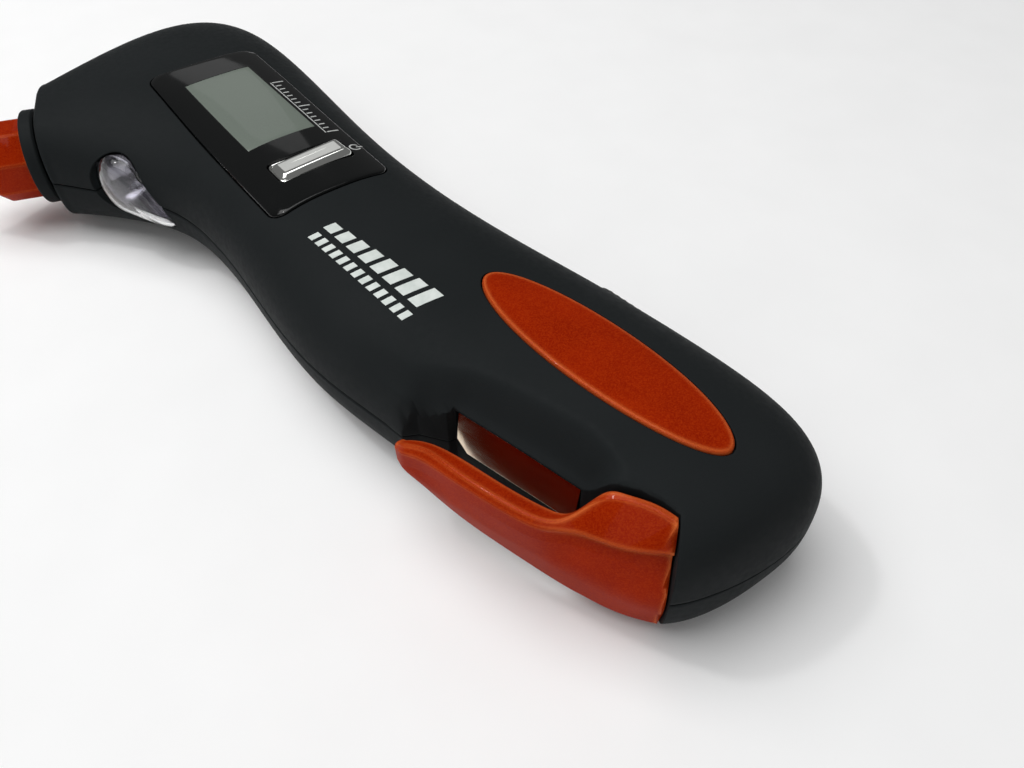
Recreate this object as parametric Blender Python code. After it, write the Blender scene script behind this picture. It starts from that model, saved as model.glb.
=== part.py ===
"""Handheld digital tyre pressure gauge with torch, emergency hammer and belt cutter.

Lengths are millimetres, turned into metres when a mesh is made. +X runs along the handle to
its tail, +Y is the side away from the cutter, +Z is up, and Z = 0 is the flat underside.
Every object hangs on one empty, which puts the origin under the middle of the whole gauge.
"""

import math

import bmesh
import bpy
import numpy as np
from mathutils import Matrix, Vector

MM = 0.001
GAP = 0.3                        # between two pieces that touch
WALL = 2.2                       # thickness of the two housing shells
ORIGIN = (-0.952, 2.167, 0.0)    # middle of the whole gauge's box, in the handle's coordinates

# Outline of the housing in plan, tail to head: the cutter side and the far side. Both start at
# the tail's middle, so they are one smooth curve round it.
NEAR = [(89.5, 12.6), (86.2, 1.7), (79.7, -6.0), (64.0, -10.0), (40.4, -9.8), (15.5, -11.4),
        (-12.1, -7.6), (-33.5, -6.6), (-48.6, -11.8), (-62.8, -20.2)]
FAR = [(89.5, 12.6), (88.6, 24.1), (79.1, 31.2), (61.2, 32.6), (39.1, 31.6), (15.5, 30.1),
       (-22.5, 32.2), (-73.4, 39.6), (-91.8, 24.9), (-84.4, -9.4)]
PARTING = 13.5                   # height of the joint between the two shells
RISE = [0.0, 9.0, 13.0, 14.2, 14.2, 14.0, 14.0, 14.0, 13.8, 12.0]     # top above the parting
DROP = [0.0, 9.0, 13.2, 14.0, 14.0, 13.8, 13.8, 13.8, 13.8, 12.0]     # bottom below it
TOP_POWER = 2.6                  # how square the upper half of a cross-section is
BOTTOM_POWER = 2.6
LAST = len(NEAR) - 1
STATIONS = 36
HALF_STEPS = 18
TAIL_START = 0.12                # the tail ends in a small flat, this far along the first span

PANEL_CENTRE = (-31.8, 13.2)
PANEL_TURN = math.radians(-6.4)
PANEL_SIZE = (56.8, 23.2)
PANEL_CORNER = 2.6
PANEL_FLOOR = 25.0
LEDGE = 2.2                      # how far the shell reaches under the panel's edge
LCD_OFFSET = (-6.2, 0.3)
LCD_SIZE = (31.0, 16.0)
KEY_OFFSET = (17.9, 1.1)
KEY_SIZE = (6.0, 14.4)
KEY_TOP = 28.9
BOARD_SIZE = (54.0, 20.0)
BOARD_FLOOR, BOARD_TOP = 19.4, 20.6
TACT_SIDE, TACT_HEIGHT = 6.0, 2.4

INLAY_CENTRE = (55.0, 13.9)
INLAY_SIZE = (47.0, 12.8)
INLAY_DEPTH = 1.6

HAMMER_BASE = (-72.6, -16.6, 14.0)
HAMMER_WAY = (-0.445, -0.8955, 0.0)
COLLAR_RADIUS, COLLAR_FRONT, COLLAR_BACK = 9.5, 2.3, -0.5
NOSE_ACROSS = 15.0               # across the flats of the octagon
NOSE_STRAIGHT, NOSE_TAPER, NOSE_END_RADIUS = 9.6, 6.0, 3.2
POINT_LENGTH = 5.0

TORCH_CENTRE = (-46.7, -9.6, 14.6)
TORCH_WAY = (0.345, -0.9386, 0.0)
TORCH_ROUND = (-2.8, 0.9, 6.1)   # centre and radius of the round end, seen from outside
TORCH_TIP = (7.2, -4.4, 1.3)     # the same for the narrow end
TORCH_DEPTH = 7.5
LED_RADIUS = 2.5

NOZZLE_CENTRE = (-50.0, 37.2, 13.0)
NOZZLE_RADIUS, SOCKET_RADIUS, SOCKET_DEPTH, NOZZLE_LENGTH = 5.9, 4.3, 9.0, 16.0

LIGHT_KEY = (46.4, 30.9, 20.0)   # face of the torch's push button on the far side
LIGHT_KEY_TILT = math.radians(22.0)
LIGHT_KEY_SIZE = (11.0, 5.6)
LIGHT_KEY_DEPTH = 2.8

# Plan line of the belt slot's inner wall and, from x = 71, of the pocket the cutter block fills.
SLOT_WALL = [(37.2, -11.0), (39.4, -7.8), (43.6, -5.4), (43.9, -4.2), (48.0, -3.6), (52.0, -3.0),
             (58.0, -2.2), (66.4, -1.2), (69.0, -0.8), (71.4, -0.1), (74.0, 1.2), (77.0, 2.1),
             (79.6, 2.3)]
BLOCK_END = (0.65, -0.76)        # plan direction of the block's slanted end, from the wall's last point
SCOOP_LINE = [(18.0, -7.5), (28.0, -6.0), (36.0, -4.7), (43.6, -0.6), (50.0, 1.4), (57.0, 2.7),
              (63.6, 3.9), (67.3, 3.1), (72.0, 2.0)]
SCOOP_FLOOR = 20.9               # height the top falls to between that line and the slot's wall
# Sections of the orange cutter frame from the finger's tip to the block's end. Each holds x, the
# bottom's height, the outer wall's y low down and at mid height, the shoulder, ridge and inner
# edge as (y, z), and all of them are joined by smooth curves.
FRAME = [
    (40.6, 10.8, -12.2, -12.8, (-12.8, 15.6), (-12.2, 16.5), (-10.9, 16.1)),
    (42.4, 9.2, -12.1, -13.2, (-13.1, 16.5), (-12.2, 17.7), (-10.3, 17.2)),
    (46.0, 7.4, -11.4, -12.9, (-12.5, 17.8), (-11.3, 19.0), (-9.3, 18.4)),
    (52.0, 6.2, -10.6, -12.1, (-12.1, 19.0), (-11.2, 20.1), (-8.6, 19.6)),
    (59.0, 5.0, -9.1, -10.9, (-11.3, 19.8), (-10.5, 20.8), (-7.8, 20.2)),
    (65.2, 3.8, -7.5, -9.4, (-10.0, 20.2), (-9.1, 21.0), (-6.5, 20.5)),
    (68.4, 3.4, -6.7, -8.6, (-8.3, 20.2), (-6.6, 21.4), (-4.6, 21.2)),
    (70.4, 3.1, -6.1, -7.9, (-7.0, 20.3), (-3.2, 23.8), (-1.5, 24.6)),
    (73.0, 2.9, -5.3, -7.1, (-5.8, 20.4), (-1.3, 25.2), (-0.1, 25.5)),
    (77.0, 2.7, -3.9, -5.8, (-3.9, 20.6), (0.4, 25.5), (1.5, 25.5)),
    (81.5, 2.4, -1.3, -4.0, (-0.6, 21.0), (1.4, 24.9), (2.4, 24.9)),
    (85.5, 2.2, 1.6, -0.4, (2.6, 20.4), (3.6, 23.5), (4.6, 23.5)),
]
FRAME_MID = 12.5
FRAME_RINGS = 31

BLADE_MIDDLE = (55.2, -1.85, 20.0)   # on the blade's upper edge
BLADE_TURN = math.radians(8.0)       # in plan, along the slot's wall
BLADE_TILT = math.radians(10.0)      # from upright, its lower edge out towards the finger
BLADE_THICK = 0.8
BLADE_OUTLINE = [(-10.9, 0.0), (-10.9, 4.6), (-8.8, 6.4), (10.8, 6.4), (10.8, 0.0)]
RECESS_X, RECESS_Y, RECESS_Z = (-11.3, 11.2), (-8.0, 0.9), (13.0, 20.3)

CELL_RADIUS, CELL_LENGTH = 5.2, 43.7
CELL_X0, CELL_Z = 12.0, 10.5
CELL_Y = (10.2, 21.2)
DOOR_X, DOOR_Y, DOOR_TOP = (9.0, 66.0), (4.6, 26.8), 3.4
DOOR_HINGE = 0.2                 # height of the door's hinge line, at its head end
SCREWS = [(-77.0, 16.0), (1.4, 2.0), (1.4, 20.0), (76.0, 18.0)]


def clear_scene():
    for obj in list(bpy.data.objects):
        bpy.data.objects.remove(obj, do_unlink=True)


def material(name, rgb, roughness, metallic=0.0):
    made = bpy.data.materials.new(name)
    made.use_nodes = True
    shader = made.node_tree.nodes["Principled BSDF"]
    shader.inputs["Base Color"].default_value = (*rgb, 1.0)
    shader.inputs["Roughness"].default_value = roughness
    shader.inputs["Metallic"].default_value = metallic
    return made


def frame_at(origin, way=(0, 0, 1), up=(0, 0, 1)):
    """A placement in metres whose local Z points along way and whose local Y is near up."""
    z = Vector(way).normalized()
    if abs(z.dot(Vector(up))) > 0.99:
        up = (0, 1, 0)
    x = Vector(up).cross(z).normalized()
    y = z.cross(x)
    place = Matrix((x, y, z)).transposed().to_4x4()
    place.translation = Vector(origin) * MM
    return place


def panel_frame(offset=(0.0, 0.0), height=0.0):
    """A placement in the panel's own turned frame, offset from its centre."""
    turn = Matrix.Rotation(PANEL_TURN, 4, "Z")
    moved = turn @ Vector((offset[0], offset[1], height))
    place = turn.copy()
    place.translation = (moved + Vector((*PANEL_CENTRE, 0.0))) * MM
    return place


def solid(name, bm, place=None, finish=None):
    """Makes the closed mesh in bm (millimetres) an object; without a finish it is a cutter."""
    bmesh.ops.recalc_face_normals(bm, faces=bm.faces)
    bmesh.ops.scale(bm, vec=(MM, MM, MM), verts=bm.verts)
    mesh = bpy.data.meshes.new(name)
    bm.to_mesh(mesh)
    bm.free()
    obj = bpy.data.objects.new(name, mesh)
    bpy.context.scene.collection.objects.link(obj)
    obj.parent = bpy.data.objects["gauge"]
    obj.matrix_local = place or Matrix.Identity(4)
    if finish is None:
        obj.hide_render = True
        obj.display_type = "WIRE"
    else:
        mesh.materials.append(finish)
        mesh.shade_smooth()
        mesh.set_sharp_from_angle(angle=math.radians(35))
    return obj


def skin(rings):
    """A closed mesh through rings of points that all have the same number of points."""
    bm = bmesh.new()
    loops = [[bm.verts.new(point) for point in ring] for ring in rings]
    for a, b in zip(loops, loops[1:]):
        for i in range(len(a)):
            j = (i + 1) % len(a)
            bm.faces.new((a[i], a[j], b[j], b[i]))
    bm.faces.new(loops[0])
    bm.faces.new(loops[-1])
    return bm


def prism(outline, low, high):
    return skin([[(x, y, z) for x, y in outline] for z in (low, high)])


def box(size_x, size_y, low, high):
    x, y = size_x / 2, size_y / 2
    return prism([(-x, -y), (x, -y), (x, y), (-x, y)], low, high)


def turned(profile, steps=24):
    """A solid turned about local Z from (radius, height) points, bottom to top."""
    rings = []
    for radius, height in profile:
        angles = [2 * math.pi * i / steps for i in range(steps)]
        rings.append([(radius * math.cos(a), radius * math.sin(a), height) for a in angles])
    return skin(rings)


def ring_solid(outer, inner, low, high, steps=24):
    """A washer or tube about local Z."""
    corners = [(inner, low), (outer, low), (outer, high), (inner, high)]
    bm = bmesh.new()
    loops = []
    for i in range(steps):
        a = 2 * math.pi * i / steps
        loops.append([bm.verts.new((r * math.cos(a), r * math.sin(a), z)) for r, z in corners])
    for i in range(steps):
        a, b = loops[i], loops[(i + 1) % steps]
        for k in range(4):
            bm.faces.new((a[k], b[k], b[(k + 1) % 4], a[(k + 1) % 4]))
    return bm


def rounded_rectangle(size, radius, steps=4):
    points = []
    for quarter, (sx, sy) in enumerate([(1, 1), (-1, 1), (-1, -1), (1, -1)]):
        cx, cy = sx * (size[0] / 2 - radius), sy * (size[1] / 2 - radius)
        for i in range(steps + 1):
            a = math.pi / 2 * (quarter + i / steps)
            points.append((cx + radius * math.cos(a), cy + radius * math.sin(a)))
    return points


def ellipse(size, steps=36):
    angles = [2 * math.pi * i / steps for i in range(steps)]
    return [(size[0] / 2 * math.cos(a), size[1] / 2 * math.sin(a)) for a in angles]


def teardrop(grow=0.0, steps=12):
    """The torch window: two circles joined by their common tangents."""
    (ax, ay, ar), (bx, by, br) = TORCH_ROUND, TORCH_TIP
    reach = math.hypot(bx - ax, by - ay)
    heading = math.atan2(by - ay, bx - ax)
    lean = math.acos((ar - br) / reach)
    points = []
    for i in range(steps + 1):
        a = heading + lean + (2 * math.pi - 2 * lean) * i / steps
        points.append((ax + (ar + grow) * math.cos(a), ay + (ar + grow) * math.sin(a)))
    for i in range(steps // 2 + 1):
        a = heading - lean + 2 * lean * i / (steps // 2)
        points.append((bx + (br + grow) * math.cos(a), by + (br + grow) * math.sin(a)))
    return points


def smooth_curve(points, where):
    """A natural cubic spline through points, read at the given places along it."""
    p = np.array(points, float)
    n = len(p)
    system, bends = np.eye(n), np.zeros_like(p)
    for i in range(1, n - 1):
        system[i, i - 1:i + 2] = (1, 4, 1)
        bends[i] = 6 * (p[i + 1] - 2 * p[i] + p[i - 1])
    bends = np.linalg.solve(system, bends)
    k = np.minimum(np.array(where).astype(int), n - 2)
    u = np.array(where) - k
    if p.ndim > 1:
        u = u[:, None]
    ends = (1 - u) * p[k] + u * p[k + 1]
    return ends + (bends[k] * ((1 - u) ** 3 - (1 - u)) + bends[k + 1] * (u ** 3 - u)) / 6


def outline(side, where):
    """Plan points of the far (+1) or cutter (-1) side, on one curve that runs round the tail."""
    points = NEAR[:0:-1] + FAR
    return smooth_curve(points, LAST + side * where)


def profile(heights, where):
    """Half heights along the housing, mirrored through the tail so that it ends round."""
    mirrored = [-h for h in heights[:0:-1]] + heights
    return smooth_curve(mirrored, LAST + where)


def smooth_step(value, low, high):
    share = min(max((value - low) / (high - low), 0.0), 1.0)
    return share * share * (3 - 2 * share)


def scooped(x, y, z, floor):
    """Height of the upper surface where it falls away towards the belt slot."""
    shoulder = float(np.interp(x, *zip(*SCOOP_LINE)))
    wall = float(np.interp(x, *zip(*SLOT_WALL)))
    fade = smooth_step(x, 24.0, 40.0) * (1 - smooth_step(x, 66.5, 71.5))
    fall = smooth_step((shoulder - y) / max(shoulder - wall, 2.0), 0.0, 1.0)
    return z - fade * fall * max(0.0, z - floor)


def body_rings(halves, inset=0.0, start=TAIL_START, end=LAST):
    """Cross-sections of the housing; halves holds +1 for its upper half and -1 for its lower."""
    share = np.linspace(0, 1, STATIONS)
    where = start + (end - start) * share ** 1.2
    near, far = outline(-1, where), outline(1, where)
    rise, drop = profile(RISE, where), profile(DROP, where)
    rings = []
    for n, f, up, down in zip(near, far, rise, drop):
        middle, side = (n + f) / 2, (n - f) / 2
        side *= 1 - inset / np.linalg.norm(side)
        ring = []
        for half in halves:
            power = 2 / (TOP_POWER if half > 0 else BOTTOM_POWER)
            tall = (up if half > 0 else down) - inset
            turns = np.linspace(0, math.pi, HALF_STEPS + 1)
            turns = turns if half > 0 else turns + math.pi
            turns = turns[:-1] if len(halves) == 2 else turns
            for a in turns:
                c, s = math.cos(a), math.sin(a)
                x, y = middle + side * math.copysign(abs(c) ** power, c)
                z = PARTING + math.copysign(abs(s) ** power, s) * tall
                ring.append((x, y, scooped(x, y, z, SCOOP_FLOOR - inset)))
        rings.append(ring)
    return rings


def half_body(half):
    """One half of the solid housing, stopping half a gap from the parting plane."""
    rings = []
    for ring in body_rings([half]):
        seam = PARTING + half * GAP / 2
        if half > 0:
            rings.append([(x, y, max(z, seam)) for x, y, z in ring])
        else:
            rings.append([(x, y, max(0.0, min(z, seam))) for x, y, z in ring])
    return skin(rings)


def combine(target, other, operation):
    step = target.modifiers.new(operation.lower() + "_" + other.name, "BOOLEAN")
    step.operation = operation
    step.object = other
    step.solver = "EXACT"


def cut(target, *cutters):
    for cutter in cutters:
        combine(target, cutter, "DIFFERENCE")


def block_end(reach, offset=0.0):
    """A plan point on the line of the block's end, moved sideways towards the tail by offset."""
    (x, y), (along, across) = SLOT_WALL[-1], BLOCK_END
    return x + reach * along - offset * across, y + reach * across + offset * along


def notch(grow=0.0):
    """Plan outline of the notch that holds the cutter frame and leaves the belt slot."""
    wall = [(x, y + grow) for x, y in SLOT_WALL[:-1]]
    wall[0] = (wall[0][0] - grow, wall[0][1])
    return [(wall[0][0], -20.0), *wall, block_end(-grow, grow), block_end(28, grow)]


def make_cavity():
    """The hollow inside both shells, less the solid places that stay round each opening."""
    inside = body_rings([1, -1], WALL, 0.62, LAST - 0.3)
    cavity = solid("cavity", skin(inside))
    keep = [
        solid("keep_notch", prism(notch(3.4), -5, 40)),
        solid("keep_panel", prism(rounded_rectangle((PANEL_SIZE[0] + 4, PANEL_SIZE[1] + 4), 3),
                                  22.9, 40), panel_frame()),
        solid("keep_inlay", prism(ellipse((INLAY_SIZE[0] + 4, INLAY_SIZE[1] + 4)), 23.6, 40),
              frame_at((*INLAY_CENTRE, 0))),
        solid("keep_hammer", turned([(10.8, -14), (10.8, 10)]),
              frame_at(HAMMER_BASE, HAMMER_WAY)),
        solid("keep_torch", prism(teardrop(2.0), -8.6, 8), frame_at(TORCH_CENTRE, TORCH_WAY)),
        solid("keep_nozzle", turned([(8.2, -9), (8.2, 8)]),
              frame_at(NOZZLE_CENTRE, (0, 1, 0))),
        solid("keep_door", prism(rectangle(DOOR_X, DOOR_Y, 3.0), -5, DOOR_TOP + 0.9)),
    ]
    for i, (x, y) in enumerate(SCREWS):
        keep.append(solid(f"keep_boss_{i + 1}", turned([(3.9, -5), (3.9, 40)], 16),
                          frame_at((x, y, 0))))
    cut(cavity, *keep)
    return cavity


def rectangle(x_range, y_range, grow=0.0):
    x0, x1 = x_range[0] - grow, x_range[1] + grow
    y0, y1 = y_range[0] - grow, y_range[1] + grow
    return [(x0, y0), (x1, y0), (x1, y1), (x0, y1)]


def make_shells(finish):
    cavity = make_cavity()
    upper = solid("upper_shell", half_body(1), None, finish["housing"])
    lower = solid("lower_shell", half_body(-1), None, finish["housing"])
    hammer, torch = frame_at(HAMMER_BASE, HAMMER_WAY), frame_at(TORCH_CENTRE, TORCH_WAY)
    nozzle = frame_at(NOZZLE_CENTRE, (0, 1, 0))
    both = [
        cavity,
        solid("cut_notch", prism(notch(), -5, 40)),
        solid("cut_hammer", turned([(7.3, -12), (7.3, 10)]), hammer),
        solid("cut_torch", prism(teardrop(GAP), -12, 8), torch),
        solid("cut_nozzle", turned([(NOZZLE_RADIUS + GAP, -19), (NOZZLE_RADIUS + GAP, 10)]), nozzle),
        solid("cut_blade_recess", prism(rectangle(RECESS_X, RECESS_Y), *RECESS_Z), recess_frame()),
        solid("cut_screw_holes", turned([(1.5, -5), (1.5, 17.5)], 12), frame_at((*SCREWS[0], 0))),
    ]
    for i, place in enumerate(SCREWS[1:]):
        both.append(solid(f"cut_screw_hole_{i + 2}", turned([(1.5, -5), (1.5, 17.5)], 12),
                          frame_at((*place, 0))))
    cut(upper, *both)
    cut(lower, *both)
    size = PANEL_SIZE[0] + 2 * GAP, PANEL_SIZE[1] + 2 * GAP
    inner = PANEL_SIZE[0] - 2 * LEDGE, PANEL_SIZE[1] - 2 * LEDGE
    cut(upper,
        solid("cut_panel", prism(rounded_rectangle(size, PANEL_CORNER + GAP), PANEL_FLOOR - GAP, 40),
              panel_frame()),
        solid("cut_panel_hole", prism(rounded_rectangle(inner, 1.5), 20, 30), panel_frame()),
        solid("cut_inlay", prism(ellipse((INLAY_SIZE[0] + 2 * GAP, INLAY_SIZE[1] + 2 * GAP)),
                                 27.2 - INLAY_DEPTH, 40), frame_at((*INLAY_CENTRE, 0))),
        solid("cut_light_key", prism(light_key_outline(GAP), -10, 8), light_key_frame()))
    heads = [solid(f"cut_screw_head_{i + 1}", turned([(3.1, -5), (3.1, 3.2)], 16),
                   frame_at((x, y, 0))) for i, (x, y) in enumerate(SCREWS)]
    cut(lower, solid("cut_door", prism(rectangle(DOOR_X, DOOR_Y, GAP), -5, DOOR_TOP + GAP)),
        solid("cut_bay", prism(rectangle(DOOR_X, DOOR_Y, -1.2), -4, 8)), *heads)


def light_key_frame():
    return frame_at(LIGHT_KEY, (0, math.cos(LIGHT_KEY_TILT), math.sin(LIGHT_KEY_TILT)))


def light_key_outline(grow=0.0):
    size = LIGHT_KEY_SIZE[0] + 2 * grow, LIGHT_KEY_SIZE[1] + 2 * grow
    return rounded_rectangle(size, size[1] / 2 - 0.05, 5)


def make_panel(finish):
    """Display window, LCD, power key, its switch and the board below them."""
    panel = solid("display_window", prism(rounded_rectangle(PANEL_SIZE, PANEL_CORNER),
                                          PANEL_FLOOR, 40), panel_frame(), finish["gloss_black"])
    combine(panel, solid("panel_skin", half_body(1)), "INTERSECT")
    hole = KEY_SIZE[0] + 0.8, KEY_SIZE[1] + 0.8
    cut(panel, solid("cut_key", prism(rounded_rectangle(hole, 0.9), 20, 40),
                     panel_frame(KEY_OFFSET)))
    solid("lcd_module", box(*LCD_SIZE, BOARD_TOP + GAP, PANEL_FLOOR - 0.6),
          panel_frame(LCD_OFFSET), finish["lcd"])
    solid("main_board", box(*BOARD_SIZE, BOARD_FLOOR, BOARD_TOP), panel_frame(), finish["board"])
    solid("gauge_chip", box(8, 8, BOARD_FLOOR - 1.4, BOARD_FLOOR - GAP), panel_frame((6, 0)),
          finish["component"])
    key = skin([[(x * s, y * s2, z) for x, y in rounded_rectangle(KEY_SIZE, 0.8)]
                for s, s2, z in [(1, 1, 24.1), (1, 1, KEY_TOP - 0.6), (0.82, 0.92, KEY_TOP)]])
    solid("power_button", key, panel_frame(KEY_OFFSET), finish["chrome"])
    make_switch("power_switch", panel_frame(KEY_OFFSET, BOARD_TOP + GAP), TACT_SIDE, finish)


def make_switch(name, place, side, finish):
    """A tact switch along local Z: a square body and the plunger standing in its pocket."""
    body = solid(name, box(side, side, 0, TACT_HEIGHT), place, finish["component"])
    cut(body, solid("cut_" + name, turned([(1.9, 0.8), (1.9, 5)], 16), place))
    solid(name + "_plunger", turned([(1.5, 1.6), (1.5, 2.9)], 16), place, finish["component"])


def make_light_key(finish):
    """Push button of the torch on the far side, its switch and its small board."""
    shapes = [(1.0, LIGHT_KEY_DEPTH), (1.0, 0.9), (0.9, 0.0)]
    rings = [[(x * s, y * s, -d) for x, y in light_key_outline()] for s, d in shapes]
    solid("torch_button", skin(rings), light_key_frame(), finish["rubber"])
    back = LIGHT_KEY_DEPTH + GAP + 2.9
    place = light_key_frame() @ Matrix.Translation(Vector((0, 0, -back)) * MM)
    make_switch("torch_switch", place, 4.6, finish)
    solid("torch_board", box(14, 5.6, -GAP - 1.2, -GAP), place, finish["board"])


def make_inlay(finish):
    inlay = solid("grip_inlay", prism(ellipse(INLAY_SIZE), 27.2 - INLAY_DEPTH + GAP, 40),
                  frame_at((*INLAY_CENTRE, 0)), finish["orange"])
    raised = [[(x, y, z + 0.25 if z > PARTING + 1 else z) for x, y, z in ring]
              for ring in body_rings([1])]
    combine(inlay, solid("inlay_skin", skin(raised)), "INTERSECT")


def octagon(radius, height):
    """Corners of an octagon given half its width across the flats."""
    corner = radius / math.cos(math.pi / 8)
    angles = [math.pi / 8 + math.pi / 4 * i for i in range(8)]
    return [(corner * math.cos(a), corner * math.sin(a), height) for a in angles]


def make_hammer(finish):
    place = frame_at(HAMMER_BASE, HAMMER_WAY)
    collar = solid("hammer_collar", turned([(7.0, -10), (7.0, COLLAR_BACK), (COLLAR_RADIUS, COLLAR_BACK),
                                            (COLLAR_RADIUS, COLLAR_FRONT - 0.6),
                                            (COLLAR_RADIUS - 0.6, COLLAR_FRONT)], 32), place,
                   finish["housing"])
    cut(collar, solid("cut_collar", turned([(5.2, -6.5), (5.2, 9)]), place))
    sections = [octagon(NOSE_ACROSS / 2, COLLAR_FRONT + GAP),
                octagon(NOSE_ACROSS / 2, NOSE_STRAIGHT),
                octagon(NOSE_END_RADIUS, NOSE_STRAIGHT + NOSE_TAPER)]
    nose = solid("hammer_nose", skin(sections), place, finish["orange"])
    combine(nose, solid("nose_shank", turned([(4.9, -6), (4.9, 6)]), place), "UNION")
    end = NOSE_STRAIGHT + NOSE_TAPER
    cut(nose, solid("cut_point", turned([(1.8, end - 4.3), (1.8, end + 5)], 16), place))
    solid("hammer_point", turned([(1.5, end - 4), (1.5, end + GAP), (2.6, end + GAP), (2.6, end + 1.2),
                                  (0.35, end + POINT_LENGTH)], 20), place, finish["steel"])


def make_torch(finish):
    place = frame_at(TORCH_CENTRE, TORCH_WAY)
    lens = [[(x * s, y * s, z) for x, y in teardrop()] for s, z in [(1, -1.4), (1, 0.5), (0.8, 1.2)]]
    solid("torch_lens", skin(lens), place, finish["clear"])
    reflector = solid("torch_reflector", prism(teardrop(), -TORCH_DEPTH, -1.7), place,
                      finish["chrome"])
    bowl = turned([(LED_RADIUS + 0.4, -9), (LED_RADIUS + 0.4, -5.4), (4.6, -2.2), (4.9, 2)])
    cut(reflector, solid("cut_bowl", bowl, torch_led_frame()))
    solid("torch_led", turned([(2.9, -8.6), (2.9, -7.8), (LED_RADIUS, -7.8), (LED_RADIUS, -4.2),
                               (1.9, -2.9), (0.7, -2.2)], 20), torch_led_frame(), finish["clear"])


def torch_led_frame():
    place = frame_at(TORCH_CENTRE, TORCH_WAY)
    return place @ Matrix.Translation(Vector((TORCH_ROUND[0] + 1.0, TORCH_ROUND[1] - 0.4, 0)) * MM)


def make_nozzle(finish):
    """Valve socket on the far side of the head, and the pressure line behind it."""
    place = frame_at(NOZZLE_CENTRE, (0, 1, 0))
    back = -NOZZLE_LENGTH
    shape = [(1.5, back - 5.5), (1.5, back), (NOZZLE_RADIUS, back), (NOZZLE_RADIUS, -0.6),
             (NOZZLE_RADIUS - 0.6, 0)]
    body = solid("valve_nozzle", turned(shape, 32), place, finish["brass"])
    cut(body, solid("cut_socket", turned([(SOCKET_RADIUS, -SOCKET_DEPTH - 2.4), (SOCKET_RADIUS, 5)],
                                         32), place),
        solid("cut_air_way", turned([(0.9, back - 8), (0.9, -5)], 12), place))
    floor = -SOCKET_DEPTH - 2.4 + GAP
    solid("nozzle_seal", ring_solid(SOCKET_RADIUS - 0.2, 2.1, floor, floor + 2.0), place,
          finish["rubber"])
    solid("valve_pin", turned([(1.8, floor), (1.8, floor + 0.8), (0.8, floor + 1.0),
                               (0.8, -SOCKET_DEPTH + 3.4)], 16), place, finish["brass"])
    solid("sensor_hose", ring_solid(2.9, 1.8, back - 9.6, back - GAP, 16), place, finish["rubber"])
    solid("pressure_sensor", turned([(4.6, back - 15.6), (4.6, back - 9.9), (1.5, back - 9.9),
                                     (1.5, back - 6.2)], 20), place, finish["steel"])


def make_cutter(finish):
    """Orange frame: a finger outside the belt slot and a block let into the housing."""
    where = np.linspace(0, len(FRAME) - 1, FRAME_RINGS)
    rows = [[x, low, ya, yb, *c, *d, *e] for x, low, ya, yb, c, d, e in FRAME]
    rings = []
    for x, low, ya, yb, cy, cz, dy, dz, ey, ez in smooth_curve(rows, where):
        ring = [(ya + 1.0, low), (ya, low + 1.2), (yb, FRAME_MID), (cy, cz), (dy, dz), (ey, ez), (ey, low)]
        rings.append([(x, y, z) for y, z in ring])
    frame = solid("cutter_frame", skin(rings), None, finish["orange"])
    beyond = [block_end(-12, -GAP), block_end(40, -GAP), block_end(40, 20), block_end(-12, 20)]
    cut(frame, solid("cut_frame_end", prism(beyond, -5, 40)))
    solid("cutter_blade", prism(BLADE_OUTLINE, -BLADE_THICK / 2, BLADE_THICK / 2), blade_frame(),
          finish["steel"])


def recess_frame():
    """Upright, with local X along the blade in plan."""
    place = Matrix.Rotation(BLADE_TURN, 4, "Z")
    place.translation = Vector((*BLADE_MIDDLE[:2], 0.0)) * MM
    return place


def blade_frame():
    """Local X along the slot, local Y down the tilted blade."""
    turn = Matrix.Rotation(BLADE_TURN, 3, "Z")
    down = turn @ Vector((0, -math.sin(BLADE_TILT), -math.cos(BLADE_TILT)))
    x = turn @ Vector((1, 0, 0))
    place = Matrix((x, down, x.cross(down))).transposed().to_4x4()
    place.translation = Vector(BLADE_MIDDLE) * MM
    return place


def make_power(finish):
    """Two cells, their springs and contact plates, and the door under them."""
    length = DOOR_X[1] - DOOR_X[0]
    door = solid("battery_door", prism(rectangle((0, length), DOOR_Y), -5, DOOR_TOP - DOOR_HINGE),
                 frame_at((DOOR_X[0], 0, DOOR_HINGE)), finish["housing"])
    combine(door, solid("door_skin", half_body(-1)), "INTERSECT")
    x_end = CELL_X0 + CELL_LENGTH
    for i, y in enumerate(CELL_Y):
        flip = i == 1
        way = (-1, 0, 0) if flip else (1, 0, 0)
        start = (x_end if flip else CELL_X0, y, CELL_Z)
        solid(f"battery_{i + 1}", turned([(CELL_RADIUS, 0), (CELL_RADIUS, CELL_LENGTH - 1),
                                          (2.7, CELL_LENGTH - 1), (2.7, CELL_LENGTH)], 24),
              frame_at(start, way), finish["cell"])
        back = x_end + 4.6 if flip else CELL_X0 - 4.6
        make_spring(f"battery_spring_{i + 1}", (back, y, CELL_Z), way, finish)
    for name, x in (("head_contact", CELL_X0 - 5.6), ("tail_contact", x_end + 4.9)):
        middle = sum(CELL_Y) / 2
        solid(name, box(18.4, 6.0, 0, 0.6), frame_at((x, middle, CELL_Z), (1, 0, 0), (0, 0, 1)),
              finish["steel"])


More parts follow.
